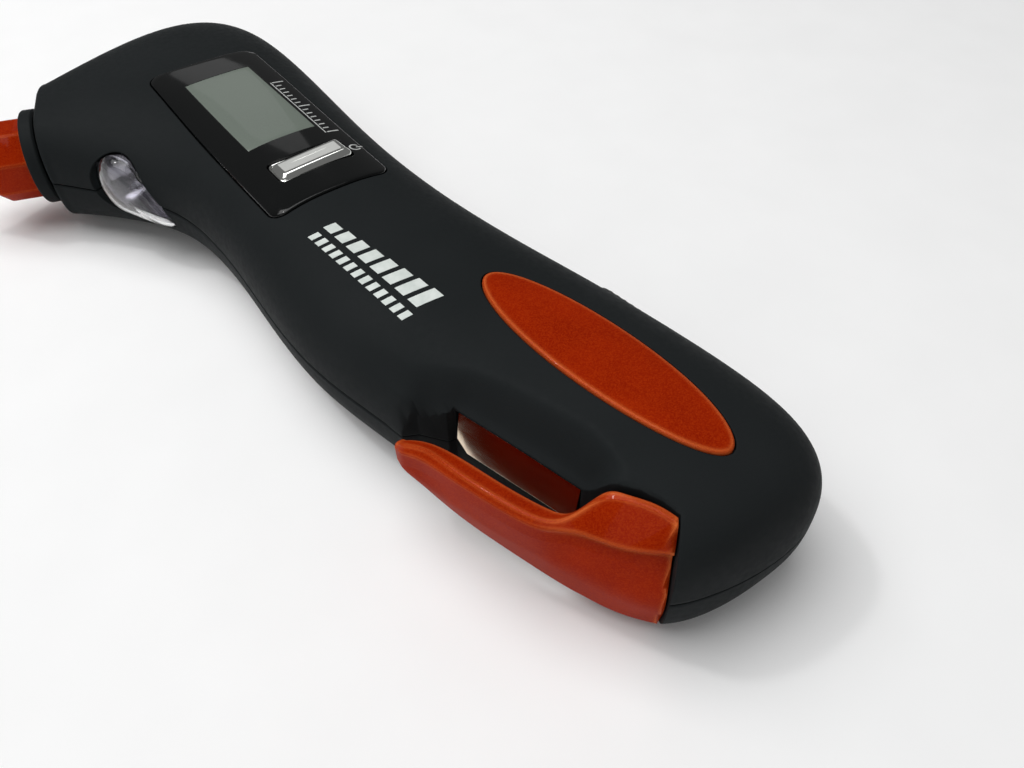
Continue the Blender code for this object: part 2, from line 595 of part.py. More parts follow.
def make_spring(name, start, way, finish):
    """A conical contact spring: one closed tube along a helix."""
    turns, per_turn, length = 3, 10, 4.1
    curve = bpy.data.curves.new(name, "CURVE")
    curve.dimensions = "3D"
    curve.bevel_depth = 0.25 * MM
    curve.bevel_resolution = 1
    curve.use_fill_caps = True
    line = curve.splines.new("POLY")
    count = turns * per_turn
    line.points.add(count)
    for i, point in enumerate(line.points):
        a = 2 * math.pi * i / per_turn
        r = 3.6 - 1.4 * i / count
        z = 0.3 + (length - 0.6) * i / count
        point.co = (r * math.cos(a) * MM, r * math.sin(a) * MM, z * MM, 1)
    obj = bpy.data.objects.new(name, curve)
    bpy.context.scene.collection.objects.link(obj)
    obj.parent = bpy.data.objects["gauge"]
    obj.matrix_local = frame_at(start, way)
    curve.materials.append(finish["steel"])


def make_screws(finish):
    for i, (x, y) in enumerate(SCREWS):
        screw = solid(f"case_screw_{i + 1}", turned([(2.0, 1.2), (2.8, 1.6), (2.8, 2.9), (1.2, 2.9),
                                                     (1.2, 16.0), (0.6, 17.0)], 16),
                      frame_at((x, y, 0)), finish["steel"])
        cut(screw, solid(f"cut_cross_{i + 1}", box(2.6, 0.6, 0, 2.2), frame_at((x, y, 0))),
            solid(f"cut_cross_{i + 1}b", box(0.6, 2.6, 0, 2.2), frame_at((x, y, 0))))


def finishes():
    return {
        "housing": material("soft_black_plastic", (0.018, 0.02, 0.021), 0.6),
        "gloss_black": material("gloss_black_plastic", (0.012, 0.013, 0.014), 0.12),
        "lcd": material("grey_green_lcd", (0.16, 0.2, 0.16), 0.25),
        "chrome": material("chrome", (0.75, 0.76, 0.74), 0.08, 1.0),
        "orange": material("orange_metallic_paint", (0.42, 0.035, 0.004), 0.35, 0.5),
        "steel": material("steel", (0.55, 0.55, 0.56), 0.25, 1.0),
        "brass": material("brass", (0.6, 0.45, 0.18), 0.3, 1.0),
        "rubber": material("black_rubber", (0.012, 0.012, 0.012), 0.75),
        "clear": material("clear_plastic", (0.85, 0.86, 0.88), 0.05),
        "board": material("green_board", (0.02, 0.16, 0.06), 0.5),
        "component": material("black_component", (0.02, 0.02, 0.02), 0.5),
        "cell": material("cell_jacket", (0.25, 0.28, 0.32), 0.35, 0.6),
    }


def main():
    clear_scene()
    gauge = bpy.data.objects.new("gauge", None)
    bpy.context.scene.collection.objects.link(gauge)
    gauge.location = Vector(ORIGIN) * -MM
    finish = finishes()
    make_shells(finish)
    make_panel(finish)
    make_light_key(finish)
    make_inlay(finish)
    make_hammer(finish)
    make_torch(finish)
    make_nozzle(finish)
    make_cutter(finish)
    make_power(finish)
    make_screws(finish)


main()
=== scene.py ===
"""Looks of the digital tyre pressure gauge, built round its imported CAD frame.

Shapes are worked out in millimetres in the handle's own coordinates, as in the CAD, and are placed
in the row's frame by the middle of the grip inlay, which both share.
"""

import math

import bmesh
import bpy
import numpy as np
from mathutils import Matrix, Vector
from mathutils.bvhtree import BVHTree


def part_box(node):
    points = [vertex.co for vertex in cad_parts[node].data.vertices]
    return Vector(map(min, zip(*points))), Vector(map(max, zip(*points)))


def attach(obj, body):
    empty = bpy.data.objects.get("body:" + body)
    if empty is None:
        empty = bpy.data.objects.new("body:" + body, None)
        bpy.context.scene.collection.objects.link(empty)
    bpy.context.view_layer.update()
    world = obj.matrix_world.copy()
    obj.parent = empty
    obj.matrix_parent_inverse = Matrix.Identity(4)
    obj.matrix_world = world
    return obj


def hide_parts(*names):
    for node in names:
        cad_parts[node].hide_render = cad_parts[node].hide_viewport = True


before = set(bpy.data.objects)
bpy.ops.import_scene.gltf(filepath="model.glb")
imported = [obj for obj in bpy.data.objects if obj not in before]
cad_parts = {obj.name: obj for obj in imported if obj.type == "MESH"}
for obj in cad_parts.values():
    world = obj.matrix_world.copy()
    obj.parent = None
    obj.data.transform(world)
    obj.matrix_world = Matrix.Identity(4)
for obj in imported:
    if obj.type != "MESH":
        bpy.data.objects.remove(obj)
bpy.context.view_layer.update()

MM = 0.001
INLAY_CENTRE, INLAY_SIZE = (55.0, 13.9), (47.0, 12.8)
INLAY_LOW, INLAY_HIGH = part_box("grip_inlay")
SHIFT = Vector(((INLAY_LOW.x + INLAY_HIGH.x) / 2 - INLAY_CENTRE[0] * MM,
                (INLAY_LOW.y + INLAY_HIGH.y) / 2 - INLAY_CENTRE[1] * MM, 0.0))

# Housing: plan curves of both sides from the tail to the head, and its height over and under the joint
NEAR = [(89.5, 12.6), (86.2, 1.7), (79.7, -6.0), (64.0, -10.0), (40.4, -9.8), (15.5, -11.4),
        (-12.1, -7.6), (-33.5, -6.6), (-48.6, -11.8), (-62.8, -20.2)]
FAR = [(89.5, 12.6), (88.6, 24.1), (79.1, 31.2), (61.2, 32.6), (39.1, 31.6), (15.5, 30.1),
       (-22.5, 32.2), (-73.4, 39.6), (-91.8, 24.9), (-84.4, -9.4)]
RISE = [0.0, 9.0, 13.0, 14.2, 14.2, 14.0, 14.0, 14.0, 13.8, 12.0]
DROP = [0.0, 9.0, 13.2, 14.0, 14.0, 13.8, 13.8, 13.8, 13.8, 12.0]
LAST = len(NEAR) - 1
PARTING, SEAM, GROOVE = 13.5, 0.12, 0.22
POWER = 2.6  # squareness of the housing's sections
WALL = 2.2
SHELL_START, SHELL_END, SHELL_ROWS = 0.04, LAST - 0.075, 170
ROOM_START, ROOM_END = 0.62, LAST - 0.3
HEAD_ROUNDING, HEAD_RINGS = 1.1, 5

# Belt slot: its inner wall, the scoop above it and the radius of the lip along it
SLOT_WALL = [(37.2, -11.0), (39.4, -7.8), (43.6, -5.4), (43.9, -4.2), (48.0, -3.6), (52.0, -3.0),
             (58.0, -2.2), (66.4, -1.2), (69.0, -0.8), (71.4, -0.1), (74.0, 1.2), (77.0, 2.1),
             (79.6, 2.3)]
BLOCK_END = (0.65, -0.76)
SCOOP_LINE = [(18.0, -7.5), (28.0, -6.0), (36.0, -4.7), (43.6, -0.6), (50.0, 1.4), (57.0, 2.7),
              (63.6, 3.9), (67.3, 3.1), (72.0, 2.0)]
SCOOP_FLOOR = 20.9
LIP = [(33.0, 0.0), (37.5, 2.8), (41.0, 3.2), (43.2, 1.6), (44.1, 0.4), (66.0, 0.5), (72.0, 0.5),
       (79.0, 0.4), (79.8, 0.0)]
SMOOTH_ANGLE = 32.0

# Everything let into the housing
PANEL_CENTRE, PANEL_TURN, PANEL_SIZE = (-31.8, 13.2), math.radians(-6.4), (56.8, 23.2)
LCD_OFFSET, LCD_SIZE = (-6.2, 0.3), (28.9, 13.8)
PANEL_LIFT, PANEL_BASE, LCD_BASE = 0.35, 25.0, 24.6
KEY_OFFSET, KEY_SIZE = (17.9, 1.1), (6.0, 14.4)
HAMMER_BASE, HAMMER_WAY = (-72.6, -16.6, 14.0), (-0.445, -0.8955, 0.0)
TORCH_CENTRE, TORCH_WAY = (-46.7, -9.6, 14.6), (0.345, -0.9386, 0.0)
TORCH_ROUND, TORCH_TIP = (-2.8, 0.9, 6.1), (7.2, -4.4, 1.3)
LED_AT, LED_WELL = (TORCH_ROUND[0] + 1.0, TORCH_ROUND[1] - 0.4), 2.95
NOZZLE_CENTRE = (-50.0, 37.2, 13.0)
LIGHT_KEY, LIGHT_KEY_TILT, LIGHT_KEY_SIZE = (46.4, 30.9, 20.0), math.radians(22.0), (11.0, 5.6)
RECESS_X, RECESS_Y, RECESS_Z = (-11.3, 11.2), (-8.0, 0.9), (13.0, 20.3)
DOOR_X, DOOR_Y, DOOR_TOP = (9.0, 66.0), (4.6, 26.8), 3.4
SCREWS = [(-77.0, 16.0), (1.4, 2.0), (1.4, 20.0), (76.0, 18.0)]
BLADE_MIDDLE, BLADE_THICK = (55.2, -1.85, 20.0), 0.8
BLADE_TURN, BLADE_TILT = math.radians(8.0), math.radians(10.0)

# Guard sections: x, bottom, near side at the bottom and half way up, then (y, z) of the three top corners
FRAME = [
    (40.6, 10.8, -12.2, -12.8, (-12.8, 15.6), (-12.2, 16.5), (-10.9, 16.1)),
    (42.4, 9.2, -12.1, -13.2, (-13.1, 16.5), (-12.2, 17.7), (-10.3, 17.2)),
    (46.0, 7.4, -11.4, -12.9, (-12.5, 17.8), (-11.3, 19.0), (-9.3, 18.4)),
    (52.0, 6.2, -10.6, -12.1, (-12.1, 19.0), (-11.2, 20.1), (-8.6, 19.6)),
    (59.0, 5.0, -9.1, -10.9, (-11.3, 19.8), (-10.5, 20.8), (-7.8, 20.2)),
    (65.2, 3.8, -7.5, -9.4, (-10.0, 20.2), (-9.1, 21.0), (-6.5, 20.5)),
    (68.4, 3.4, -6.7, -8.6, (-8.3, 20.2), (-6.6, 21.4), (-4.6, 21.2)),
    (70.4, 3.1, -6.1, -7.9, (-7.0, 20.3), (-3.2, 23.8), (-1.5, 24.6)),
    (73.0, 2.9, -5.3, -7.1, (-5.8, 20.4), (-1.3, 25.2), (-0.1, 25.5)),
    (77.0, 2.7, -3.9, -5.8, (-3.9, 20.6), (0.4, 25.5), (1.5, 25.5)),
    (81.5, 2.4, -1.3, -4.0, (-0.6, 21.0), (1.4, 24.9), (2.4, 24.9)),
    (85.5, 2.2, 1.6, -0.4, (2.6, 20.4), (3.6, 23.5), (4.6, 23.5)),
]
GUARD_RINGS, GUARD_RADII = 110, [0.8, 3.0, 9.0, 1.4, 0.5, 0.6, 0.7, 0.5, 0.4]
CREASE_DEPTH, CREASE_START, CREASE_FULL = 1.3, 66.0, 71.0

CAMERA_AT, CAMERA_WAY, CAMERA_RIGHT = (106.5, -52.5, 113.5), (-0.482, 0.462, -0.744), (0.692, 0.722, 0.0)
FOCAL_LENGTH, SENSOR_WIDTH = 29.46, 36.0
SKY = 0.16
LIGHTS = [  # name, place, the point it faces, its sides, watts
    ("overhead", (-0.22, -0.16, 0.88), (0, 0, 0), (0.9, 0.9), 7.9),
    ("spark", (-0.38, -0.22, 0.78), (0.02, 0, 0), (0.07, 0.07), 0.9),
    ("side_light", (0.45, -0.60, 0.50), (0.02, 0, 0), (0.6, 0.6), 0.9),
    ("far_panel", (-0.73, 0.325, 0.43), (-0.02, 0.01, 0.03), (0.17, 0.15), 0.038),
]


# ---------------------------------------------------------------- materials

class Nodes:
    """Short names for adding shader nodes to one material."""

    def __init__(self, name):
        self.material = bpy.data.materials.new(name)
        self.material.use_nodes = True
        self.tree = self.material.node_tree
        self.shader = self.tree.nodes["Principled BSDF"]
        self.at = self.add("ShaderNodeTexCoord").outputs["Object"]

    def add(self, kind, **settings):
        node = self.tree.nodes.new(kind)
        for key, value in settings.items():
            setattr(node, key, value)
        return node

    def link(self, output, target):
        self.tree.links.new(output, target)

    def set(self, **values):
        for key, value in values.items():
            socket = self.shader.inputs[key.replace("_", " ")]
            if isinstance(value, tuple) and len(value) == 3 and len(socket.default_value) == 4:
                value = (*value, 1.0)
            socket.default_value = value

    def noise(self, scale, detail, roughness=0.5, stretch=None):
        node = self.add("ShaderNodeTexNoise")
        node.inputs["Scale"].default_value = scale
        node.inputs["Detail"].default_value = detail
        node.inputs["Roughness"].default_value = roughness
        self.link(self.stretched(stretch), node.inputs["Vector"])
        return node.outputs["Fac"]

    def stretched(self, stretch):
        if stretch is None:
            return self.at
        mapping = self.add("ShaderNodeMapping")
        mapping.inputs["Scale"].default_value = stretch
        self.link(self.at, mapping.inputs["Vector"])
        return mapping.outputs["Vector"]

    def cells(self, scale, feature="F1"):
        node = self.add("ShaderNodeTexVoronoi", feature=feature)
        node.inputs["Scale"].default_value = scale
        self.link(self.at, node.inputs["Vector"])
        return node

    def spread(self, value, low, high, start=0.3, end=0.7):
        """Maps a texture value from start..end to low..high."""
        node = self.add("ShaderNodeMapRange")
        for key, number in (("From Min", start), ("From Max", end), ("To Min", low), ("To Max", high)):
            node.inputs[key].default_value = number
        self.link(value, node.inputs["Value"])
        return node.outputs["Result"]

    def blend(self, factor, first, second):
        """Colour between first and second, each a colour or an output."""
        node = self.add("ShaderNodeMix", data_type="RGBA")
        self.link(factor, node.inputs["Factor"])
        sockets = [s for s in node.inputs if s.type == "RGBA"]
        for socket, value in zip(sockets, (first, second)):
            if isinstance(value, tuple):
                socket.default_value = (*value, 1.0)
            else:
                self.link(value, socket)
        return next(o for o in node.outputs if o.type == "RGBA")

    def edge(self, radius):
        """The surface's normal with its edges rounded off."""
        node = self.add("ShaderNodeBevel", samples=6)
        node.inputs["Radius"].default_value = radius
        return node.outputs["Normal"]

    def painted_edge_highlight(self, radius):
        """Mask of a painted highlight: how much a point lies on an edge, from 0 on a flat face to 0.6 along
        the edge.
        """
        soft = self.edge(radius)
        true = self.add("ShaderNodeNewGeometry").outputs["Normal"]
        dot = self.add("ShaderNodeVectorMath", operation="DOT_PRODUCT")
        self.link(soft, dot.inputs[0])
        self.link(true, dot.inputs[1])
        return self.spread(dot.outputs["Value"], 0.6, 0.0, 0.88, 0.992)

    def bump(self, height, distance, strength, normal=None):
        node = self.add("ShaderNodeBump")
        node.inputs["Strength"].default_value = strength
        node.inputs["Distance"].default_value = distance
        self.link(height, node.inputs["Height"])
        if normal is not None:
            self.link(normal, node.inputs["Normal"])
        self.link(node.outputs["Normal"], self.shader.inputs["Normal"])


def housing_plastic():
    n = Nodes("soft_touch_black")
    n.set(Metallic=0.0, Specular_IOR_Level=0.03)
    patch = n.spread(n.noise(38, 2), 0, 1)
    n.link(n.blend(patch, (0.0125, 0.0145, 0.0152), (0.0156, 0.0176, 0.0184)), n.shader.inputs["Base Color"])
    n.link(n.spread(n.noise(900, 2), 0.50, 0.60), n.shader.inputs["Roughness"])
    n.bump(n.noise(5200, 2, 0.6), 0.00003, 0.55, n.edge(0.00035))
    return n.material


def gloss_black():
    n = Nodes("gloss_black_panel")
    n.set(Base_Color=(0.0030, 0.0035, 0.0036), Specular_IOR_Level=0.2, Coat_Weight=0.14, Coat_Roughness=0.02)
    n.link(n.spread(n.noise(160, 4, 0.6), 0.045, 0.12), n.shader.inputs["Roughness"])
    n.bump(n.noise(60, 1), 0.00004, 0.4, n.edge(0.0002))
    return n.material


def lcd_glass():
    n = Nodes("grey_green_lcd")
    n.set(Coat_Weight=0.35, Coat_Roughness=0.03, Roughness=0.35, Specular_IOR_Level=0.3)
    shade = n.spread(n.noise(45, 1), 0, 1, 0.25, 0.75)
    fine = n.spread(n.noise(5200, 1), 0, 1, 0.2, 0.8)
    tint = n.blend(shade, (0.110, 0.134, 0.112), (0.140, 0.166, 0.140))
    n.link(n.blend(fine, tint, (0.144, 0.170, 0.144)), n.shader.inputs["Base Color"])
    n.bump(n.noise(60, 1), 0.00004, 0.4)
    return n.material


def chrome():
    n = Nodes("polished_chrome")
    n.set(Base_Color=(0.80, 0.81, 0.78), Metallic=1.0)
    n.link(n.spread(n.noise(420, 3, 0.6), 0.045, 0.12), n.shader.inputs["Roughness"])
    n.bump(n.noise(900, 2, 0.5, (1, 6, 1)), 0.000006, 0.35, n.edge(0.00015))
    return n.material


def orange_lacquer():
    """Orange lacquer: small turned flakes in it, a painted highlight in a paler tone along its edges, and a
    clear coat on top.
    """
    n = Nodes("orange_metallic")
    n.set(Metallic=0.08, Specular_IOR_Level=0.0, Coat_Weight=0.13, Coat_Roughness=0.07, Coat_IOR=1.45)
    flake = n.cells(6200)
    spark = n.spread(flake.outputs["Color"], 0, 0.5, 0.3, 1.0)
    drift = n.spread(n.noise(120, 2), 0, 1)
    deep = n.blend(drift, (0.25, 0.0110, 0.0006), (0.30, 0.0150, 0.0008))
    flaked = n.blend(spark, deep, (0.46, 0.044, 0.0035))
    # Painted highlight: pale orange laid into the base colour along edges and ridges.
    n.link(n.blend(n.painted_edge_highlight(0.0014), flaked, (0.98, 0.27, 0.065)), n.shader.inputs["Base Color"])
    n.link(n.spread(flake.outputs["Color"], 0.28, 0.40, 0.1, 0.9), n.shader.inputs["Roughness"])
    n.bump(flake.outputs["Color"], 0.000012, 0.35, n.edge(0.0004))
    return n.material


def metal(name, rgb, low, high, grain, stretch=None, depth=0.00001):
    n = Nodes(name)
    n.set(Base_Color=rgb, Metallic=1.0)
    streak = n.noise(grain, 3, 0.6, stretch)
    n.link(n.spread(streak, low, high), n.shader.inputs["Roughness"])
    n.bump(streak, depth, 0.5, n.edge(0.0001))
    return n.material


def plain(name, dark, light, low, high, grain, depth, edge=0.0002, **settings):
    """A moulded or printed material: two close tones, a roughness range and a fine grain."""
    n = Nodes(name)
    n.set(**settings)
    n.link(n.blend(n.spread(n.noise(grain / 6, 2), 0, 1), dark, light), n.shader.inputs["Base Color"])
    n.link(n.spread(n.noise(grain, 2), low, high), n.shader.inputs["Roughness"])
    n.bump(n.noise(grain, 2, 0.6), depth, 0.5, n.edge(edge))
    return n.material


def clear_plastic(name, rgb, low, high):
    n = Nodes(name)
    n.set(Base_Color=rgb, Transmission_Weight=1.0, IOR=1.36)
    n.link(n.spread(n.noise(240, 2), low, high), n.shader.inputs["Roughness"])
    n.bump(n.noise(90, 1), 0.00003, 0.25)
    return n.material


def circuit_board():
    n = Nodes("green_solder_mask")
    n.set(Coat_Weight=0.4, Coat_Roughness=0.1)
    track = n.cells(420, "DISTANCE_TO_EDGE")
    line = n.spread(track.outputs["Distance"], 1, 0, 0.03, 0.09)
    n.link(n.blend(line, (0.012, 0.10, 0.04), (0.03, 0.19, 0.08)), n.shader.inputs["Base Color"])
    n.link(n.spread(n.noise(900, 2), 0.3, 0.45), n.shader.inputs["Roughness"])
    n.bump(line, 0.00003, 0.5)
    return n.material


MATERIAL = {
    "housing": housing_plastic(),
    "gloss": gloss_black(),
    "lcd": lcd_glass(),
    "chrome": chrome(),
    "orange": orange_lacquer(),
    # Near-black copy of the reflector for the bowl's middle: painted shade.
    "shaded": metal("shaded_reflector", (0.026, 0.025, 0.030), 0.10, 0.2, 500, None, 0.000004),
    "reflector": metal("satin_reflector", (0.27, 0.26, 0.30), 0.16, 0.28, 500, None, 0.000004),
    # Steel warmed to tan: the tan is a painted reflection of the orange guard.
    "blade": metal("ground_steel_painted_reflection", (0.84, 0.70, 0.54), 0.12, 0.22, 900, (0.05, 1, 1), 0.000004),
    "steel": metal("zinc_plated_steel", (0.50, 0.51, 0.52), 0.22, 0.38, 1400),
    "brass": metal("turned_brass", (0.72, 0.50, 0.20), 0.16, 0.32, 2200, (1, 0.1, 1)),
    "rubber": plain("black_rubber", (0.012, 0.012, 0.012), (0.02, 0.02, 0.02), 0.62, 0.8, 4200, 0.00003),
    "clear": clear_plastic("clear_acrylic", (0.97, 0.975, 0.98), 0.0, 0.03),
    "led": clear_plastic("clear_led_resin", (0.96, 0.97, 0.93), 0.0, 0.04),
    "phosphor": plain("yellow_phosphor", (0.62, 0.50, 0.10), (0.75, 0.62, 0.16), 0.5, 0.6, 5000, 0.00002),
    "board": circuit_board(),
    "component": plain("moulded_component", (0.014, 0.014, 0.015), (0.024, 0.024, 0.025), 0.4, 0.55, 3800,
                       0.00002),
    "cell": plain("cell_jacket", (0.10, 0.16, 0.24), (0.13, 0.20, 0.30), 0.2, 0.32, 1500, 0.00001,
                  Metallic=0.5, Coat_Weight=0.5),
    "print": plain("pale_print", (0.56, 0.61, 0.58), (0.68, 0.72, 0.69), 0.45, 0.6, 3600, 0.00001, 0.00005),
    "grey_print": plain("grey_print", (0.42, 0.43, 0.42), (0.52, 0.53, 0.52), 0.4, 0.55, 3600, 0.00001,
                        0.00005),
    "floor": plain("pale_floor", (0.93, 0.93, 0.93), (0.95, 0.95, 0.95), 0.85, 0.95, 300, 0.00002, 0.0001),
}


# ---------------------------------------------------------------- mesh helpers

def frame_at(origin, way=(0, 0, 1)):
    """A placement in millimetres with local Z along way, and local Y near up, or towards +Y if way is up."""
    z = Vector(way).normalized()
    up = Vector((0, 1, 0)) if abs(z.z) > 0.99 else Vector((0, 0, 1))
    x = up.cross(z).normalized()
    place = Matrix((x, z.cross(x), z)).transposed().to_4x4()
    place.translation = Vector(origin)
    return place


def panel_frame(offset=(0.0, 0.0)):
    turn = Matrix.Rotation(PANEL_TURN, 4, "Z")
    place = turn.copy()
    place.translation = turn @ Vector((*offset, 0.0)) + Vector((*PANEL_CENTRE, 0.0))
    return place


IDENTITY = Matrix.Identity(4)
HAMMER = frame_at(HAMMER_BASE, HAMMER_WAY)
TORCH = frame_at(TORCH_CENTRE, TORCH_WAY)
NOZZLE = frame_at(NOZZLE_CENTRE, (0, 1, 0))
KEY_PLACE = frame_at(LIGHT_KEY, (0, math.cos(LIGHT_KEY_TILT), math.sin(LIGHT_KEY_TILT)))
PANEL = panel_frame()


def skin(rings):
    """Vertices and faces of a closed body through rings of equal length, capped at both ends."""
    count = len(rings[0])
    points = [tuple(point) for ring in rings for point in ring]
    faces = [tuple(range(count - 1, -1, -1))]
    for k in range(len(rings) - 1):
        a, b = k * count, (k + 1) * count
        for i in range(count):
            j = (i + 1) % count
            faces.append((a + i, a + j, b + j, b + i))
    last = (len(rings) - 1) * count
    faces.append(tuple(range(last, last + count)))
    return points, faces


def shade(obj, sharp):
    """Smooth shading, with edges sharper than the angle in degrees left crisp."""
    obj.data.shade_smooth()
    obj.data.set_sharp_from_angle(angle=math.radians(sharp))


def make(name, points, faces, place=IDENTITY, material=None, sharp=35.0):
    """An object from millimetre points; its normals are made to face out."""
    mesh = bpy.data.meshes.new(name)
    world = [(place @ Vector(p)) * MM + SHIFT for p in points]
    mesh.from_pydata(world, [], faces)
    bm = bmesh.new()
    bm.from_mesh(mesh)
    bmesh.ops.recalc_face_normals(bm, faces=bm.faces)
    bm.to_mesh(mesh)
    bm.free()
    obj = bpy.data.objects.new(name, mesh)
    bpy.context.scene.collection.objects.link(obj)
    if material:
        mesh.materials.append(MATERIAL[material])
    shade(obj, sharp)
    return obj


def finish_piece(obj, body, nodes=()):
    """Lets a piece ride on its body, and hides the CAD nodes that it takes the place of."""
    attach(obj, body)
    if nodes:
        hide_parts(*nodes)


def cut(target, cutters):
    """Takes the cutters out of the target's mesh."""
    for i, cutter in enumerate(cutters):
        step = target.modifiers.new(f"cut_{i}", "BOOLEAN")
        step.operation, step.solver, step.object = "DIFFERENCE", "EXACT", cutter
    bpy.context.view_layer.update()
    graph = bpy.context.evaluated_depsgraph_get()
    made = bpy.data.meshes.new_from_object(target.evaluated_get(graph), depsgraph=graph)
    target.modifiers.clear()
    target.data = made


def discard(objects):
    for obj in objects:
        mesh = obj.data
        bpy.data.objects.remove(obj)
        bpy.data.meshes.remove(mesh)


def prism(outline, low, high):
    return skin([[(x, y, z) for x, y in outline] for z in (low, high)])


def circle(steps):
    return [2 * math.pi * i / steps for i in range(steps)]


def quarter(steps, first=0):
    """Angles of a quarter turn in equal steps, from step number first."""
    return [math.pi / 2 * i / steps for i in range(first, steps + 1)]


def turned(profile, steps=48):
    """A turned body from (radius, height) pairs."""
    return skin([[(r * math.cos(a), r * math.sin(a), z) for a in circle(steps)] for r, z in profile])


def rounded_rectangle(size, radius, steps=8):
    points = []
    for turn, (sx, sy) in enumerate([(1, 1), (-1, 1), (-1, -1), (1, -1)]):
        cx, cy = sx * (size[0] / 2 - radius), sy * (size[1] / 2 - radius)
        for i in range(steps + 1):
            a = math.pi / 2 * (turn + i / steps)
            points.append((cx + radius * math.cos(a), cy + radius * math.sin(a)))
    return points


def ellipse(size, steps=120):
    return [(size[0] / 2 * math.cos(a), size[1] / 2 * math.sin(a)) for a in circle(steps)]


def rectangle(x_range, y_range, grow=0.0):
    x0, x1 = x_range[0] - grow, x_range[1] + grow
    y0, y1 = y_range[0] - grow, y_range[1] + grow
    return [(x0, y0), (x1, y0), (x1, y1), (x0, y1)]


def teardrop(grow, steps=40):
    """Outline of the torch's opening: two circles and the lines that touch both, grown outwards."""
    (ax, ay, ar), (bx, by, br) = TORCH_ROUND, TORCH_TIP
    reach = math.hypot(bx - ax, by - ay)
    heading = math.atan2(by - ay, bx - ax)
    lean = math.acos((ar - br) / reach)
    points = []
    for i in range(steps + 1):
        a = heading + lean + (2 * math.pi - 2 * lean) * i / steps
        points.append((ax + (ar + grow) * math.cos(a), ay + (ar + grow) * math.sin(a)))
    for i in range(steps // 3 + 1):
        a = heading - lean + 2 * lean * i / (steps // 3)
        points.append((bx + (br + grow) * math.cos(a), by + (br + grow) * math.sin(a)))
    return points


def fillet(points, radii, steps=6):
    """A closed outline with each corner rounded to its radius, as far as its sides allow."""
    out = []
    count = len(points)
    for i, radius in enumerate(radii):
        before, here, after = (np.array(points[(i + k) % count], float) for k in (-1, 0, 1))
        a, b = before - here, after - here
        la, lb = np.linalg.norm(a), np.linalg.norm(b)
        a, b = a / la, b / lb
        half = math.acos(max(-1.0, min(1.0, float(a @ b)))) / 2
        reach = min(radius / max(math.tan(half), 1e-3), 0.45 * la, 0.45 * lb)
        start, end = here + a * reach, here + b * reach
        for k in range(steps + 1):
            t = k / steps
            out.append(tuple((1 - t) ** 2 * start + 2 * t * (1 - t) * here + t ** 2 * end))
    return out


def smooth_curve(points, where):
    """A natural cubic spline through points, read at the given places along it."""
    p = np.array(points, float)
    n = len(p)
    system, bends = np.eye(n), np.zeros_like(p)
    for i in range(1, n - 1):
        system[i, i - 1:i + 2] = (1, 4, 1)
        bends[i] = 6 * (p[i + 1] - 2 * p[i] + p[i - 1])
    bends = np.linalg.solve(system, bends)
    k = np.minimum(np.array(where).astype(int), n - 2)
    u = np.array(where) - k
    if p.ndim > 1:
        u = u[:, None]
    ends = (1 - u) * p[k] + u * p[k + 1]
    return ends + (bends[k] * ((1 - u) ** 3 - (1 - u)) + bends[k + 1] * (u ** 3 - u)) / 6


# ---------------------------------------------------------------- housing

def smooth_step(value, low, high):
    share = np.clip((value - low) / (high - low), 0.0, 1.0)
    return share * share * (3 - 2 * share)


def shaped_top(x, y, z, floor):
    """The scoop above the belt slot, and the rounded lip along the slot and the block's pocket."""
    shoulder, wall = np.interp(x, *zip(*SCOOP_LINE)), np.interp(x, *zip(*SLOT_WALL))
    fade = smooth_step(x, 24.0, 40.0) * (1 - smooth_step(x, 66.5, 71.5))
    fall = smooth_step((shoulder - y) / np.maximum(shoulder - wall, 2.0), 0.0, 1.0)
    z = z - fade * fall * np.maximum(0.0, z - floor)
    radius = np.interp(x, *zip(*LIP))
    inside = np.clip(radius - (y - wall), 0.0, radius)
    return z - (radius - np.sqrt(np.maximum(radius ** 2 - inside ** 2, 0.0)))


def outline(side, where):
    return smooth_curve(NEAR[:0:-1] + FAR, LAST + side * where)


def profile(heights, where):
    return smooth_curve([-h for h in heights[:0:-1]] + heights, LAST + where)


def sections(half, where, turns, inset=0.0, seam=SEAM, groove=0.0):
    """Points of the upper (+1) or lower (-1) half: one row of (x, y, z) for each place along it."""
    near, far = outline(-1, where), outline(1, where)
    tall = profile(RISE if half > 0 else DROP, where)[:, None] - seam - inset
    middle, side = (near + far) / 2, (near - far) / 2
    size = np.linalg.norm(side, axis=1, keepdims=True)
    side = side * (1 - inset / size)
    lateral = np.sign(np.cos(turns)) * np.abs(np.cos(turns)) ** (2 / POWER)
    height = np.sin(turns) ** (2 / POWER)
    lateral = np.tile(lateral, (len(where), 1))
    height = np.tile(height, (len(where), 1))
    if groove:
        pulled = 1 - np.minimum(groove / size, 0.3)
        lateral = np.hstack([pulled, lateral, -pulled])
        height = np.hstack([0 * pulled, height, 0 * pulled])
    x = middle[:, :1] + side[:, :1] * lateral
    y = middle[:, 1:] + side[:, 1:] * lateral
    z = PARTING + half * (seam + height * tall)
    if half > 0:
        z = np.maximum(shaped_top(x, y, z, SCOOP_FLOOR - inset), PARTING + seam)
    else:
        z = np.maximum(z, 0.0)
    return np.stack([x, y, z], axis=2)


def end_rings(base):
    """Rounds the head's end: the last section drawn in towards its middle as it nears the end."""
    away = base - base.mean(axis=0)
    away = away / np.linalg.norm(away, axis=1, keepdims=True)
    way = np.array(HAMMER_WAY)
    return [base - away * HEAD_ROUNDING * (1 - math.cos(a)) + way * HEAD_ROUNDING * math.sin(a)
            for a in quarter(HEAD_RINGS, 1)]


